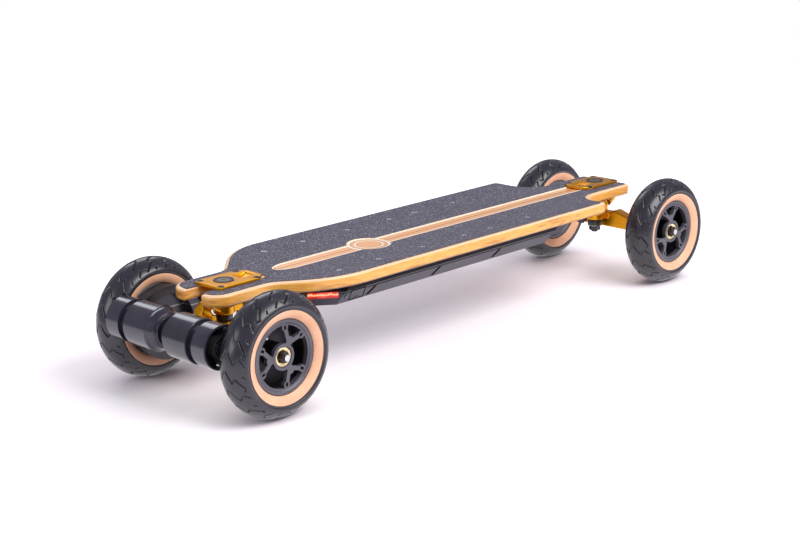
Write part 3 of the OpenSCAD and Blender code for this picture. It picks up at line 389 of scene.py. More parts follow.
def inlay(ground, wood):
    """The stripe and its round field: a tan core between cream borders, parted by thin dark lines.
    The half width at x is W sqrt(1 - (1 - u)^2) with u = (x - tip) / L up to 1, so the tip is a
    half ellipse; a point lies half width - |y| inside the stripe and R - |(x, y) - middle| inside
    the field. Returns the colour and the share of the surface that is inlaid."""
    stripe_tip, stripe_end, tip_l, stripe_half = -0.3175, 0.3925, 0.036, 0.0172
    border_w, line_w, middle_line = 0.0052, 0.0044, 0.0008
    field_x, field_r, core_r = -0.12675, 0.0335, 0.0272
    core_tan, cream, line = (0.86, 0.43, 0.17, 1), (1.0, 0.86, 0.70, 1), (0.20, 0.07, 0.03, 1)
    flat = add("ShaderNodeSeparateXYZ", {"Vector": place}, None)
    x, y = flat.outputs["X"], flat.outputs["Y"]
    from_tip = span(x, stripe_tip, stripe_tip + tip_l, 1.0, 0.0)
    swell = maths("SQRT", maths("SUBTRACT", 1.0, maths("POWER", from_tip, 2.0)))
    aside = maths("ABSOLUTE", y)
    inside = maths("SUBTRACT", maths("MULTIPLY", swell, stripe_half), aside)
    in_stripe = maths("MULTIPLY", over(inside, 0.0), band(x, stripe_tip, stripe_end))
    plan = add("ShaderNodeCombineXYZ", {"X": x, "Y": y})
    to_field = {0: plan, 1: (field_x, 0.0, 0.0)}
    from_field = add("ShaderNodeVectorMath", to_field, "Value", operation="DISTANCE")
    in_field = under(from_field, field_r)
    colour = laid(cream, over(inside, border_w), core_tan)
    colour = laid(colour, band(inside, line_w, border_w + 0.0002), line)
    colour = laid(colour, under(aside, middle_line), line)
    disc = laid(cream, under(from_field, core_r), core_tan)
    for low, high, ink in (
        (core_r, 0.0284, line), (0.0190, 0.0225, cream), (0.0180, 0.0190, line),
    ):
        disc = laid(disc, band(from_field, low, high), ink)
    grained = laid(laid(colour, in_field, disc), 0.10, wood, blend_type="MULTIPLY")
    share = maths("MAXIMUM", in_stripe, in_field)
    return laid(ground, share, grained), share


bamboo, surface, add, place = shader(
    "lacquered_bamboo", Roughness=0.34, Coat_Weight=0.3, Coat_Roughness=0.12)
depth = add("ShaderNodeAttribute", out="Fac", attribute_name="ply_depth")
wood_stretch = (6.0, 160.0, 60.0)
wood_dark, wood_light = (0.84, 0.52, 0.24, 1), (0.97, 0.70, 0.42, 1)
face_colour = ramp(noise(3.0, 6.0, 0.6, wood_stretch), wood_dark, wood_light, 0.3, 0.7)
inlaid, _ = inlay(face_colour, face_colour)

# The plies show on the edge as level lines, golden and glossy, with darker orange patches laid at
# random as painted shade. The rounded top edge is pale wood, lightened further as a painted
# highlight, and the lower one is painted dark brown as shade. Depths are in mm.
ply_t = 2.43
ply_line = span(maths("FRACT", maths("MULTIPLY", depth, 1.0 / ply_t)), 0.0, 0.12, 0.55, 0.0)
edge_grain = noise(2.0, 5.0, stretch=(22.0, 22.0, 420.0))
edge_colour = ramp(edge_grain, (0.86, 0.36, 0.055, 1), (1.0, 0.56, 0.13, 1), 0.32, 0.66)
# Darker orange patches at random: painted shade on the edge.
shade_patch = span(noise(1.6, 3.0, 0.7, (9.0, 9.0, 60.0)), 0.53, 0.66, 0.0, 0.75)
edge_colour = laid(edge_colour, shade_patch, (0.50, 0.17, 0.02, 1))
edge_colour = laid(edge_colour, ply_line, (0.50, 0.19, 0.035, 1))
# The rounded top edge is pale wood, painted lighter still as a highlight.
topped = laid(inlaid, span(depth, 0.15, 0.5), (1.0, 0.66, 0.41, 1))
both = laid(topped, span(depth, 2.2, 3.0), edge_colour)
# The lower rounded edge is painted dark brown as shade.
feed("Base Color", laid(both, span(depth, 14.6, 15.6, 0.0, 0.85), (0.30, 0.11, 0.02, 1)))
bump(noise(2.0, 3.0, stretch=(14.0, 700.0, 700.0)), 0.12, 0.0004)
bamboo_deck.data.materials.append(bamboo)

# ---- Grip sheet
# Coarse silicon carbide grit on a stuck sheet, cut short of the rounded edge. The grit is dark grey
# with a faint lilac cast, and single grains are painted light grey as glints.

grit, surface, add, place = shader("grit_sheet", Roughness=0.72, Specular_IOR_Level=0.4)
coarse = noise(430.0, 4.0, 0.8)
shade = ramp(coarse, (0.043, 0.041, 0.060, 1), (0.150, 0.143, 0.190, 1), 0.36, 0.66)
grains = add("ShaderNodeTexVoronoi", {"Vector": place, "Scale": 800.0}, "Position", feature="F1")
chance = add("ShaderNodeTexWhiteNoise", {"Vector": grains})
pitted = laid(shade, maths("LESS_THAN", chance, 0.12), (0.03, 0.028, 0.04, 1))
# A few single grains are painted light grey: painted glints.
painted_glints = laid(pitted, maths("GREATER_THAN", chance, 0.945), (0.42, 0.41, 0.48, 1))
used = laid(painted_glints, span(noise(30.0, 3.0), 0.35, 0.75, 0.0, 0.16), (0.20, 0.19, 0.23, 1))
bare_wood = ramp(noise(3.0, 6.0, stretch=wood_stretch), wood_dark, wood_light, 0.3, 0.7)
striped, share = inlay(used, bare_wood)
feed("Base Color", striped)
bump(maths("MULTIPLY", coarse, maths("SUBTRACT", 1.0, share)), 0.6, 0.0008)


def dress(node, material):
    """Gives a node of the solids a finish."""
    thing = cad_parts[node]
    thing.data.materials.clear()
    thing.data.materials.append(material)


dress("grip_tape", grit)

# ---- Deck screws
# Bright countersunk screws with a hexagon socket clamp the deck to the enclosure. Their heads
# sit level with the grip, six along each side.

screw_x = -342.75 + 548.0 * np.array([0.142, 0.285, 0.454, 0.622, 0.728, 0.894])
screw_y = 80.0
screw_steps = 36


def piece(name, points, faces, materials, body, face_materials=None, smooth=True):
    """A mesh object from points in millimetres and index arrays, riding on a body if it has one."""
    mesh = bpy.data.meshes.new(name)
    mesh.from_pydata((np.asarray(points, float) * MM).tolist(), [], [tuple(f) for f in faces])
    for material in materials:
        mesh.materials.append(material)
    if face_materials is not None:
        mesh.polygons.foreach_set("material_index", np.asarray(face_materials, np.int32))
    mesh.polygons.foreach_set("use_smooth", np.full(len(mesh.polygons), smooth))
    mesh.update()
    thing = bpy.data.objects.new(name, mesh)
    bpy.context.scene.collection.objects.link(thing)
    if body:
        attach(thing, body)
    return thing


def screw_heads():
    """Rings (radius, height above the wood) turned about each screw's middle; the inner four
    rings follow a hexagon, r = flat / cos(angle to the nearest flat)."""
    rings = np.array([
        (0.0, 0.12), (1.75, 0.12), (1.75, 0.75), (2.1, 0.85), (3.4, 0.8), (3.95, 0.45),
        (4.05, -0.3),
    ])
    turns = 2 * math.pi * np.arange(screw_steps) / screw_steps
    to_flat = np.mod(turns, math.pi / 3) - math.pi / 6
    hexagon = math.cos(math.pi / 6) / np.cos(to_flat)
    six_sided = np.arange(len(rings))[:, None] < 4
    radius = rings[:, 0:1] * np.where(six_sided, hexagon[None, :], 1.0)
    points, faces = [], []
    for x in screw_x:
        for y in (-screw_y, screw_y):
            start = len(points) * screw_steps * len(rings)
            points.append(np.stack([
                x + radius * np.cos(turns), y + radius * np.sin(turns),
                deck_height(y) + rings[:, 1:2] + 0 * radius,
            ], -1).reshape(-1, 3))
            grid = grid_faces(len(rings), screw_steps, close_columns=True, start=start)
            faces.append(grid[:, ::-1])
    tones = np.tile(np.repeat([1, 1, 0, 0, 0, 0], screw_steps), len(points))
    return np.concatenate(points), np.concatenate(faces), tones


bright_steel, surface, add, place = shader("bright_screw_steel", Metallic=0.8, Roughness=0.3)
scuff = noise(900.0, 3.0)
feed("Base Color", ramp(scuff, (0.55, 0.55, 0.60, 1), (0.86, 0.86, 0.90, 1)))
bump(scuff, 0.1, 0.0002)

socket_dark, surface, add, place = shader("socket_shadow", Roughness=0.7)
feed("Base Color", ramp(noise(600.0, 2.0), (0.012, 0.012, 0.014, 1), (0.05, 0.048, 0.055, 1)))

points, faces, tones = screw_heads()
finishes = [bright_steel, socket_dark]
heads = piece("deck_screw_heads", points, faces, finishes, "board", tones, smooth=False)
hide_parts("enclosure_screws")

# ---- Tyres
# Pneumatic tyres of moulded rubber, 175 mm across, with a tan band moulded into each side wall
# next to the rim. Zig-zag grooves and short bars are moulded into the tread on both sides.

axle_z, tyre_r, tyre_w, rim_r, rim_w = 87.5, 87.5, 53.8, 52.0, 37.8
front_y, rear_y = 124.8, 134.0
wheel_places = {
    "front_left": (front_x, front_y, 1), "front_right": (front_x, -front_y, -1),
    "rear_left": (rear_x, rear_y, 1), "rear_right": (rear_x, -rear_y, -1),
}


def bezier(a, b, c, d, n):
    """Cubic curve from a to d, pulled towards b and c, with the weights (1 - t)^3, 3 t (1 - t)^2,
    3 t^2 (1 - t) and t^3."""
    t = np.linspace(0, 1, n + 1)[:, None]
    a, b, c, d = map(np.array, (a, b, c, d))
    return a * (1 - t) ** 3 + 3 * b * t * (1 - t) ** 2 + 3 * c * t * t * (1 - t) + d * t ** 3


def tyre_half():
    """Half section (radius, offset from the mid-plane) from the bead out to the crown, and for
    each of its points whether it belongs to the tan band."""
    w, bead_w = tyre_w / 2, rim_w / 2

    def wall_at(share, offset):
        """A point at a share of the wall's height."""
        return [rim_r + share * (tyre_r - rim_r), offset]

    bead = np.array([
        [rim_r - 5.6, bead_w - 3.8], [rim_r + 0.35, bead_w - 3.7], [rim_r + 0.5, bead_w - 0.6],
    ])
    tan_band = bezier(
        [rim_r + 0.7, bead_w + 0.1], wall_at(0.11, bead_w + 3.6),
        wall_at(0.25, w - 2.4), wall_at(0.41, w - 2.0), 9)
    lip = np.array([wall_at(0.42, w - 2.35), wall_at(0.445, w - 1.3)])
    wall = bezier(
        wall_at(0.46, w - 1.0), wall_at(0.52, w - 0.4),
        wall_at(0.60, w - 1.2), wall_at(0.68, w - 3.8), 9)
    crown = bezier(
        wall_at(0.68, w - 3.8), wall_at(0.86, w - 9.5),
        [tyre_r - 0.05, w - 17], [tyre_r - 0.05, 0.0], 34)[1:]
    section = np.concatenate([bead, tan_band, lip, wall, crown])
    tan = np.zeros(len(section), bool)
    tan[2:2 + len(tan_band)] = True
    return section, tan


section, tan_rows = tyre_half()
section = np.concatenate([section, section[-2::-1] * [1, -1]])
tan_rows = np.concatenate([tan_rows, np.roll(tan_rows, 1)[-2::-1]])
tread_turns = 840
turn_angle = 2 * math.pi * np.arange(tread_turns) / tread_turns

# One tread block: a long kinked groove from the middle out to the shoulder with a hook at its
# end, a smaller kink beside it, and two cuts on the shoulder. Places are (degrees round, mm
# across the crown), and the half widths, the soft edge and the depth are in mm.
groove_lines = [
    [(0.0, 1.0), (10.5, 10.0), (6.5, 14.5), (17.5, 27.0)],
    [(17.5, 27.0), (20.6, 24.0)],
    [(19.0, 2.5), (29.5, 13.5), (26.0, 17.0)],
    [(24.5, 20.5), (31.5, 30.0)],
    [(4.5, 24.5), (8.0, 31.0)],
]
groove_halves = [0.75, 0.7, 0.65, 0.6, 0.6]
blocks, groove_soft, groove_deep = 10, 0.45, 1.8


def groove_depth(angle, across):
    """Depth of the tread's grooves: 1 within a groove's half width of its line, then falling to 0
    over the soft edge. Distances are measured on the flattened crown, once for each side."""
    depth = np.zeros_like(angle)
    pitch = 360.0 / blocks
    for side, offset in ((1, 0.0), (-1, 0.5 * pitch)):
        s = side * across
        a = np.mod(np.degrees(angle) + offset, pitch)
        for line, half in zip(groove_lines, groove_halves):
            for (a0, s0), (a1, s1) in zip(line[:-1], line[1:]):
                dx, dy = (a1 - a0) * math.radians(1) * tyre_r, s1 - s0
                for wrap in (0.0, pitch, -pitch):
                    x, y = (a + wrap - a0) * math.radians(1) * tyre_r, s - s0
                    t = np.clip((x * dx + y * dy) / (dx * dx + dy * dy), 0, 1)
                    d = np.hypot(x - t * dx, y - t * dy)
                    sunk = np.clip((half + groove_soft - d) / groove_soft, 0, 1)
                    depth = np.maximum(depth, sunk)
    return depth


section_step = np.gradient(section, axis=0)
section_normal = np.stack([-section_step[:, 1], section_step[:, 0]], 1)
section_normal /= np.linalg.norm(section_normal, axis=1)[:, None]
if section_normal[len(section) // 2, 0] < 0:
    section_normal *= -1
# The grooves start on the shoulder, over the first 2 mm above 0.62 of the wall's height
crown_row = np.clip((section[:, 0] - (rim_r + 0.62 * (tyre_r - rim_r))) / 2.0, 0, 1)
# Distance across the tread, measured along the section from the crown
run = np.concatenate([[0], np.cumsum(np.linalg.norm(np.diff(section, axis=0), axis=1))])
run -= run[len(section) // 2]
cut = groove_depth(*np.meshgrid(turn_angle, run, indexing="ij")) * crown_row[None, :]
tread_r = section[None, :, 0] - groove_deep * cut * section_normal[None, :, 0]
tread_z = section[None, :, 1] - groove_deep * cut * section_normal[None, :, 1]

rubber, surface, add, place = shader("tyre_rubber", Roughness=0.27, Specular_IOR_Level=0.6)
tone = ramp(noise(22.0, 4.0), (0.014, 0.013, 0.021, 1), (0.025, 0.024, 0.037, 1), 0.3, 0.75)
# The grooves are painted near black by their depth, as the shade down in them.
painted_groove_shade = add("ShaderNodeAttribute", out="Fac", attribute_name="groove")
feed("Base Color", laid(tone, painted_groove_shade, (0.004, 0.004, 0.005, 1)))
bump(noise(260.0, 5.0, 0.65), 0.14, 0.0004)

tan_rubber, surface, add, place = shader("tan_rubber", Roughness=0.52)
specks = add("ShaderNodeTexVoronoi", {"Vector": place, "Scale": 330.0}, "Distance", feature="F1")
few = maths("GREATER_THAN", noise(120.0, 2.0), 0.62)
speck = maths("MULTIPLY", span(specks, 0.0, 0.16, 1.0, 0.0), few)
cloud = noise(40.0, 3.0)
tone = ramp(cloud, (0.90, 0.48, 0.28, 1), (0.95, 0.57, 0.36, 1), 0.3, 0.7)
feed("Base Color", laid(tone, speck, (0.45, 0.24, 0.12, 1)))
bump(cloud, 0.08, 0.0006)


def wheel_points(radius, offset, angle, where):
    """Points of a surface turned about a wheel's axle: (x + r cos a, y + out offset, z + r sin a),
    where out is 1 on the left and -1 on the right."""
    x, y, out = wheel_places[where]
    around = [x + radius * np.cos(angle), y + out * offset, axle_z + radius * np.sin(angle)]
    return np.stack(around, -1).reshape(-1, 3)


tread_faces = grid_faces(tread_turns, len(section), close_rows=True)
tread_tones = np.tile((tan_rows[:-1] & tan_rows[1:]).astype(np.int32), tread_turns)
turned_on = 0.11  # radians that each tyre is turned further than the last, so no two match
for number, where in enumerate(wheel_places):
    angle = turn_angle[:, None] + turned_on * number + 0 * tread_r
    points = wheel_points(tread_r, tread_z, angle, where)
    faces = tread_faces if wheel_places[where][2] > 0 else tread_faces[:, ::-1]
    finishes = [rubber, tan_rubber]
    tyre = piece(where + "_tyre_tread", points, faces, finishes, where + "_wheel", tread_tones)
    groove = tyre.data.attributes.new("groove", "FLOAT", "POINT")
    groove.data.foreach_set("value", cut.ravel().astype(np.float32))
    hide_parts(where + "_tyre")

# ---- Rims, hubs and bearings
# Each rim is two cast and coated alloy halves, bolted back to back. The outer half has three
# forked spokes, the inner one a closed web. Shielded bearings sit in the hub.

coated, surface, add, place = shader("rim_coat", Metallic=0.25, Roughness=0.42)
tone = ramp(noise(25.0, 3.0), (0.080, 0.077, 0.095, 1), (0.125, 0.120, 0.145, 1), 0.3, 0.7)
# Inside the barrel, from 11.5 mm inwards of the wheel's middle to 9.2 mm outwards, the castings
# are painted near black, as the shade inside the wheel
apart = add("ShaderNodeSeparateXYZ", {"Vector": place}, None)
in_front = maths("GREATER_THAN", apart.outputs["X"], 0.0)
middle_y = span(in_front, 0.0, 1.0, rear_y * MM, front_y * MM)
outward = maths("SUBTRACT", maths("ABSOLUTE", apart.outputs["Y"]), middle_y)
feed("Base Color", laid(tone, band(outward, -0.0115, 0.0092, 0.001), (0.004, 0.004, 0.005, 1)))
bump(noise(520.0, 3.0), 0.15, 0.0004)

zinc, surface, add, place = shader("zinc_steel", Metallic=1.0, Roughness=0.3)
lathe = noise(3.0, 4.0, stretch=(40.0, 900.0, 40.0))
feed("Base Color", ramp(lathe, (0.42, 0.42, 0.44, 1), (0.72, 0.72, 0.74, 1)))
bump(lathe, 0.12, 0.0003)

for where in wheel_places:
    dress(where + "_rim", coated)
    dress(where + "_bearings", zinc)
    dress(where + "_inner_tube", zinc)
for end in ("front", "rear"):
    dress(end + "_axle", zinc)

# ---- Hub fittings
# A brass washer sits against the outer bearing, with a black locking nut on it and the axle's
# turned end showing in the middle. A plated cap closes each tyre valve.


def turned_piece(name, profile, where, material, body, steps, sides):
    """A surface of revolution about a wheel's axle from (radius, offset) pairs in turn order. With
    sides given, each radius r is cut to a polygon: r cos(pi/n) / cos(angle to the nearest flat)."""
    profile = np.array(profile, float)
    angle = 2 * math.pi * np.arange(steps)[:, None] / steps
    scale = np.ones_like(angle)
    if sides:
        nearest = np.mod(angle, 2 * math.pi / sides) - math.pi / sides
        scale = math.cos(math.pi / sides) / np.cos(nearest)
    radius = profile[None, :, 0] * scale
    offset = profile[None, :, 1] + 0 * radius
    points = wheel_points(radius, offset, angle + 0 * radius, where)
    faces = grid_faces(steps, len(profile), close_rows=True)
    if wheel_places[where][2] < 0:
        faces = faces[:, ::-1]
    return piece(name, points, faces, [material], body)


brass, surface, add, place = shader("yellow_passivate", Metallic=1.0, Roughness=0.26)
bloom = noise(190.0, 4.0)
feed("Base Color", ramp(bloom, (0.52, 0.42, 0.22, 1), (0.86, 0.74, 0.45, 1), 0.3, 0.7))
bump(bloom, 0.1, 0.0003)

oxide_nut, surface, add, place = shader("nut_oxide", Metallic=0.7, Roughness=0.32)
stain = noise(300.0, 4.0)
feed("Base Color", ramp(stain, (0.015, 0.014, 0.013, 1), (0.07, 0.062, 0.05, 1)))
bump(stain, 0.1, 0.0003)

# Profiles (radius, distance from the hub's face, which lies hub_out from the wheel's middle); the
# washer's lip rises to a bright rounded edge
hub_out = 14.0
washer_profile = [
    (4.6, 0.05), (8.0, 0.05), (12.9, 0.3), (13.5, 0.9), (13.5, 1.7), (13.1, 2.3), (12.4, 2.4),
    (9.8, 2.1), (9.2, 1.9), (4.6, 1.9),
]
nut_profile = [
    (4.6, 1.9), (8.0, 1.9), (8.5, 2.4), (8.5, 6.3), (7.7, 7.2), (6.9, 7.5), (5.4, 7.5), (4.6, 6.9),
]
for where in wheel_places:
    hanger = where.split("_")[0] + "_hanger"
    for kind, profile, finish, slot, steps, sides in (
        ("_washer", washer_profile, brass, "brass_plate", 64, 0),
        ("_lock_nut", nut_profile, oxide_nut, "black_steel", 96, 6),
    ):
        outline = [(radius, hub_out + out) for radius, out in profile + profile[:1]]
        fitting = turned_piece(where + kind, outline, where, finish, hanger, steps, sides)
for end in ("front", "rear"):
    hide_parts(end + "_axle_nuts")

# ---- Trucks
# Base, link and hanger are forged alloy with soft edges, bead blasted and gold anodised. Black
# kingpins clamp dark urethane bushings on both sides of each ring, on cupped washers.


def forged(node, body, finish, voxel, passes=6):
    """A copy of a solid rebuilt on a grid of cubes, then relaxed, so its edges come out soft. Each
    pass moves every point half way to the mean of the points that it is joined to."""
    merged = bmesh.new()
    merged.from_mesh(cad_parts[node].data)
    bmesh.ops.remove_doubles(merged, verts=merged.verts, dist=1e-6)
    mesh = bpy.data.meshes.new("forged_" + node)
    merged.to_mesh(mesh)
    merged.free()
    thing = bpy.data.objects.new("forged_" + node, mesh)
    bpy.context.scene.collection.objects.link(thing)
    cubes = thing.modifiers.new("cubes", "REMESH")
    cubes.mode = "VOXEL"
    cubes.voxel_size = voxel * MM
    graph = bpy.context.evaluated_depsgraph_get()
    rebuilt = bpy.data.meshes.new_from_object(thing.evaluated_get(graph))
    thing.modifiers.clear()
    thing.data = rebuilt
    points = np.zeros(3 * len(rebuilt.vertices))
    rebuilt.vertices.foreach_get("co", points)
    points = points.reshape(-1, 3)
    ends = np.zeros(2 * len(rebuilt.edges), np.int64)
    rebuilt.edges.foreach_get("vertices", ends)
    a, b = ends.reshape(-1, 2).T
    count = np.bincount(ends, minlength=len(points))[:, None]
    for _ in range(passes):
        total = np.stack([
            np.bincount(a, points[b, k], len(points)) + np.bincount(b, points[a, k], len(points))
            for k in range(3)
        ], 1)
        points = 0.5 * points + 0.5 * total / count
    rebuilt.vertices.foreach_set("co", points.ravel())
    rebuilt.polygons.foreach_set("use_smooth", np.full(len(rebuilt.polygons), True))
    rebuilt.materials.clear()
    rebuilt.materials.append(finish)
    rebuilt.update()
    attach(thing, body)
    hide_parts(node)


gold, surface, add, place = shader("gold_anodised", Metallic=0.85, Roughness=0.34)
forge = noise(28.0, 3.0)
feed("Base Color", ramp(forge, (0.65, 0.27, 0.004, 1), (0.74, 0.37, 0.009, 1), 0.3, 0.75))
bump(noise(1300.0, 4.0, 0.7), 0.18, 0.0003)

oxide, surface, add, place = shader("black_oxide", Metallic=0.75, Roughness=0.3)
bloom = noise(340.0, 4.0)
tone = ramp(bloom, (0.025, 0.025, 0.03, 1), (0.085, 0.083, 0.095, 1))
# The cupped washers under the bushings lie at two heights, (low, high) in metres, and are plated
height = add("ShaderNodeSeparateXYZ", {"Vector": place}, "Z")
upper_washer = band(height, 0.10345, 0.1053, 0.0001)
lower_washer = band(height, 0.08145, 0.0833, 0.0001)
either_washer = maths("MAXIMUM", upper_washer, lower_washer)
feed("Base Color", laid(tone, either_washer, (0.26, 0.25, 0.24, 1)))
bump(bloom, 0.1, 0.0003)

moulded, surface, add, place = shader("black_moulding", Roughness=0.5)
wide = noise(18.0, 3.0)
feed("Base Color", ramp(wide, (0.030, 0.029, 0.036, 1), (0.058, 0.056, 0.068, 1), 0.3, 0.75))
bump(noise(700.0, 4.0, 0.65), 0.2, 0.0004)

# A turned cap has three tones, parted by the radii of its rings, and fine grooves round it. Both
# caps lie 415 mm from x = 5.25 mm, one each way. Lengths are in metres.
cap_alloy, surface, add, place = shader("turned_cap", Metallic=0.5, Roughness=0.34)
caps_middle, caps_reach, waves = 0.00525, 0.415, 9000.0
apart = add("ShaderNodeSeparateXYZ", {"Vector": place}, None)
either_way = maths("ABSOLUTE", maths("SUBTRACT", apart.outputs["X"], caps_middle))
over_cap = {"X": maths("SUBTRACT", either_way, caps_reach), "Y": apart.outputs["Y"]}
cap_plane = add("ShaderNodeCombineXYZ", over_cap)
cap_r = add("ShaderNodeVectorMath", {0: cap_plane}, "Value", operation="LENGTH")
tone = ramp(noise(260.0, 4.0), (0.022, 0.021, 0.026, 1), (0.065, 0.062, 0.070, 1))
inner = laid(tone, under(cap_r, 0.0088), (0.17, 0.14, 0.10, 1))
feed("Base Color", laid(inner, under(cap_r, 0.0042), (0.05, 0.048, 0.05, 1)))
bump(maths("SINE", maths("MULTIPLY", cap_r, waves)), 0.08, 0.0002)

for end in ("front", "rear"):
    forged(end + "_truck_base", "board", gold, 0.8)
    forged(end + "_link", end + "_link", gold, 0.8)
    forged(end + "_hanger", end + "_hanger", gold, 1.0)
    dress(end + "_lower_kingpin", oxide)
    dress(end + "_lower_pivot_cup", moulded)
dress("upper_kingpins", oxide)
dress("upper_pivot_cups", moulded)
dress("base_caps", cap_alloy)
dress("base_screws", oxide)

# ---- Bushings
# Soft cast urethane rings, one on each side of a truck's ring, each turned round the kingpin and
# fixed in place. The bore opens towards the ring, which swings about the pin.

urethane, surface, add, place = shader("dark_urethane", Roughness=0.32)
cast = noise(90.0, 3.0)
feed("Base Color", ramp(cast, (0.018, 0.018, 0.021, 1), (0.045, 0.044, 0.050, 1)))
bump(cast, 0.06, 0.0005)

bushing_h, ring_half = 10.0, 5.0
bushing_steps = 48
# (radius, height above the end in the seat)
bushing_profile = np.array([
    (5.05, 0.0), (11.0, 0.0), (11.7, 0.6), (12.0, 2.0), (11.95, 4.0), (11.8, 6.0), (11.4, 8.0),
    (10.9, 9.2), (10.2, 9.7), (6.9, 9.7), (6.6, 7.0), (6.15, 5.0), (5.7, 3.0), (5.3, 1.5),
])
bushing_turn = 2 * math.pi * np.arange(bushing_steps)[:, None] / bushing_steps


def bushing(node, name, x, ring_z, way):
    """A turned ring about the kingpin: its seat end lies ring_half + bushing_h above the ring's
    middle, or below it where way is -1."""
    radius = bushing_profile[None, :, 0]
    rise = ring_half + bushing_h - bushing_profile[None, :, 1]
    points = np.stack([
        x + radius * np.cos(bushing_turn), radius * np.sin(bushing_turn),
        ring_z + way * rise + 0 * bushing_turn,
    ], -1)
    faces = grid_faces(bushing_steps, len(bushing_profile), close_rows=True, close_columns=True)
    if way < 0:
        faces = faces[:, ::-1]
    thing = piece(name, points.reshape(-1, 3), faces, [urethane], None)
    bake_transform(thing)
    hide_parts(node)


upper_z, lower_z = 120.0, 98.0
for end, upper_x, lower_x in (("front", 384.75, 421.75), ("rear", -374.25, -411.25)):
    link, hanger = end + "_link", end + "_hanger"
    upper, lower = end + "_upper_bushing", end + "_lower_bushing"
    for side, way in (("_top", 1.0), ("_bottom", -1.0)):
        bushing(upper + "s", upper + side, upper_x, upper_z, way)
        bushing(lower + "s", lower + side, lower_x, lower_z, way)

# ---- Motors, mounts, belts and pulleys
# Two outrunner motors in satin black cans hang behind the rear hanger on machined mounts. Each
# drives its wheel through a toothed rubber belt that runs inside the mount's open cup.

can, surface, add, place = shader(
    "satin_black_can", Metallic=0.3, Roughness=0.2, Coat_Weight=0.3, Coat_Roughness=0.1)
wide = noise(30.0, 3.0)
feed("Base Color", ramp(wide, (0.026, 0.025, 0.038, 1), (0.050, 0.048, 0.070, 1), 0.3, 0.75))
bump(noise(1.0, 3.0, stretch=(8.0, 1500.0, 8.0)), 0.10, 0.0002)

belt_rubber, surface, add, place = shader("belt_rubber", Roughness=0.7)
cloth = noise(1.0, 3.0, stretch=(900.0, 300.0, 900.0))
feed("Base Color", ramp(cloth, (0.012, 0.012, 0.014, 1), (0.035, 0.034, 0.038, 1)))
bump(cloth, 0.3, 0.0004)

for side in ("left", "right"):
    dress(side + "_motor", can)
    dress(side + "_motor_mount", can)
    dress(side + "_belt", belt_rubber)
    dress(side + "_motor_pulley", zinc)
    dress("rear_" + side + "_wheel_pulley", oxide)

# ---- Battery enclosure
# A moulded shell screwed up under the deck against a soft seal. Its walls lean outwards, a groove
# runs round them, and the charging socket's cover and the power button sit in the right wall.

case_plastic, surface, add, place = shader("case_plastic", Roughness=0.45)
wide = noise(14.0, 4.0)
tone = ramp(wide, (0.058, 0.055, 0.074, 1), (0.088, 0.084, 0.110, 1), 0.3, 0.75)
apart = add("ShaderNodeSeparateXYZ", {"Vector": place}, None)
x, z = apart.outputs["X"], apart.outputs["Z"]
# Black lies in the joint round the charging cover; painted shade lies in the slanting cuts of the
# walls and right under the deck. A cut is a line that leans 44 degrees, stretched a little upwards.
cut_pitch, cut_x, cut_z = 0.136, -0.20973, 0.1185
cut_lean, cut_stretch, cut_half = math.radians(44), 1.115, 0.0025
cut_low, cut_high, cuts_rear, cuts_front = -0.0062, 0.0060, -0.236, 0.10
shade_z, edge_soft = 0.1284, 0.0002
from_cut = maths("ADD", x, -cut_x + cut_pitch / 2)
beside_cut = maths("SUBTRACT", maths("FLOORED_MODULO", from_cut, cut_pitch), cut_pitch / 2)
over_cut = maths("SUBTRACT", z, cut_z)
across_x = maths("MULTIPLY", beside_cut, math.cos(cut_lean))
across_z = maths("MULTIPLY", over_cut, cut_stretch * math.sin(cut_lean))
across_cut = maths("SUBTRACT", across_x, across_z)
in_cut = maths(
    "MULTIPLY", band(across_cut, -cut_half, cut_half, edge_soft),
    band(over_cut, cut_low, cut_high, edge_soft))
cuts = maths("MULTIPLY", in_cut, band(x, cuts_rear, cuts_front, 0.001))


def upright(left, right, bottom, top):
    """1 inside a rectangle on the side wall, given by its edges in metres."""
    across = band(x, left, right, edge_soft)
    return maths("MULTIPLY", across, band(z, bottom, top, edge_soft))


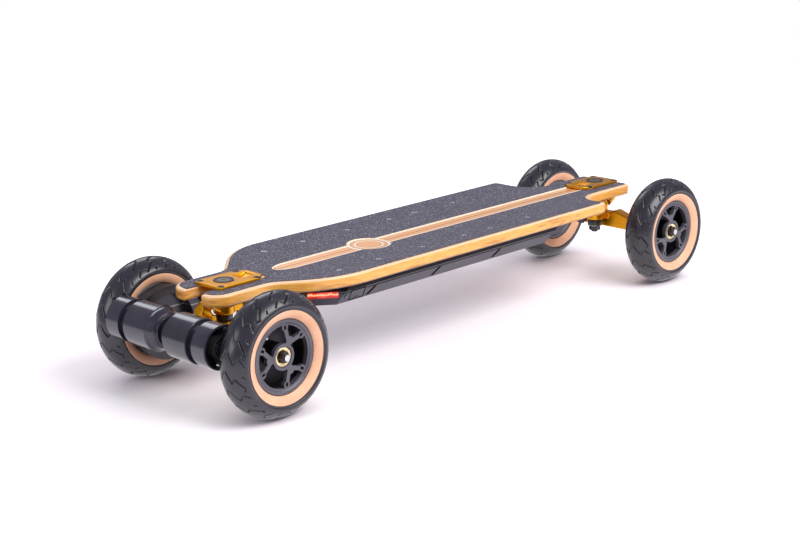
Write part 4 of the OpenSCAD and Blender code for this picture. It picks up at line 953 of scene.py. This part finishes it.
joint = upright(-0.2537, -0.2237, 0.1110, 0.1280)
cover = upright(-0.2515, -0.2259, 0.1130, 0.1260)
marks = maths("MAXIMUM", cuts, maths("SUBTRACT", joint, cover))
# Above shade_z the wall is painted black as the shade under the deck.
black = maths("MAXIMUM", marks, over(z, shade_z))
feed("Specular IOR Level", span(black, 0.0, 1.0, 0.5, 0.05))
feed("Base Color", laid(tone, black, (0.004, 0.004, 0.005, 1)))
leather = {"Vector": place, "Scale": 900.0}
pores = add("ShaderNodeTexVoronoi", leather, "Distance", feature="SMOOTH_F1")
bump(pores, 0.12, 0.0003)

cell_wrap, surface, add, place = shader("cell_wrap", Roughness=0.28)
shrunk = noise(120.0, 3.0)
feed("Base Color", ramp(shrunk, (0.03, 0.12, 0.24, 1), (0.06, 0.20, 0.36, 1)))
bump(shrunk, 0.2, 0.0006)

dress("enclosure", case_plastic)
dress("port_cover", case_plastic)
dress("enclosure_gasket", moulded)
dress("charge_port", moulded)
dress("power_button", can)
dress("battery_pack", cell_wrap)
dress("motor_controller", zinc)

# ---- Tail lights
# A red lens is let into each tapered rear wall of the enclosure. Behind it runs a strip of small
# lamps, which shows as a bright wavy line of dots.

lens, surface, add, place = shader(
    "red_lens", Base_Color=(0.55, 0.01, 0.01, 1.0), Roughness=0.12, Emission_Strength=0.95)
strip_z, strip_wave, dot_pitch = 0.1252, 0.0011, 0.0030
ripple = noise(150.0, 2.0)
apart = add("ShaderNodeSeparateXYZ", {"Vector": place}, None)
dots = maths("SINE", maths("MULTIPLY", apart.outputs["X"], 2.0 * math.pi / dot_pitch))
line_z = maths("ADD", span(ripple, 0.3, 0.7, -strip_wave, strip_wave), strip_z)
off_line = maths("ABSOLUTE", maths("SUBTRACT", apart.outputs["Z"], line_z))
dot_share = maths("DIVIDE", off_line, span(dots, -1.0, 1.0, 0.0010, 0.0019))
core = span(dot_share, 0.35, 1.2, 1.0, 0.0, interpolation_type="SMOOTHSTEP")
halo = span(off_line, 0.0008, 0.0042, 1.0, 0.0, interpolation_type="SMOOTHSTEP")
red = laid((0.30, 0.006, 0.006, 1), halo, (0.95, 0.06, 0.015, 1))
feed("Emission Color", laid(red, core, (1.0, 0.68, 0.36, 1)))
bump(ripple, 0.1, 0.0006)
dress("tail_lights", lens)
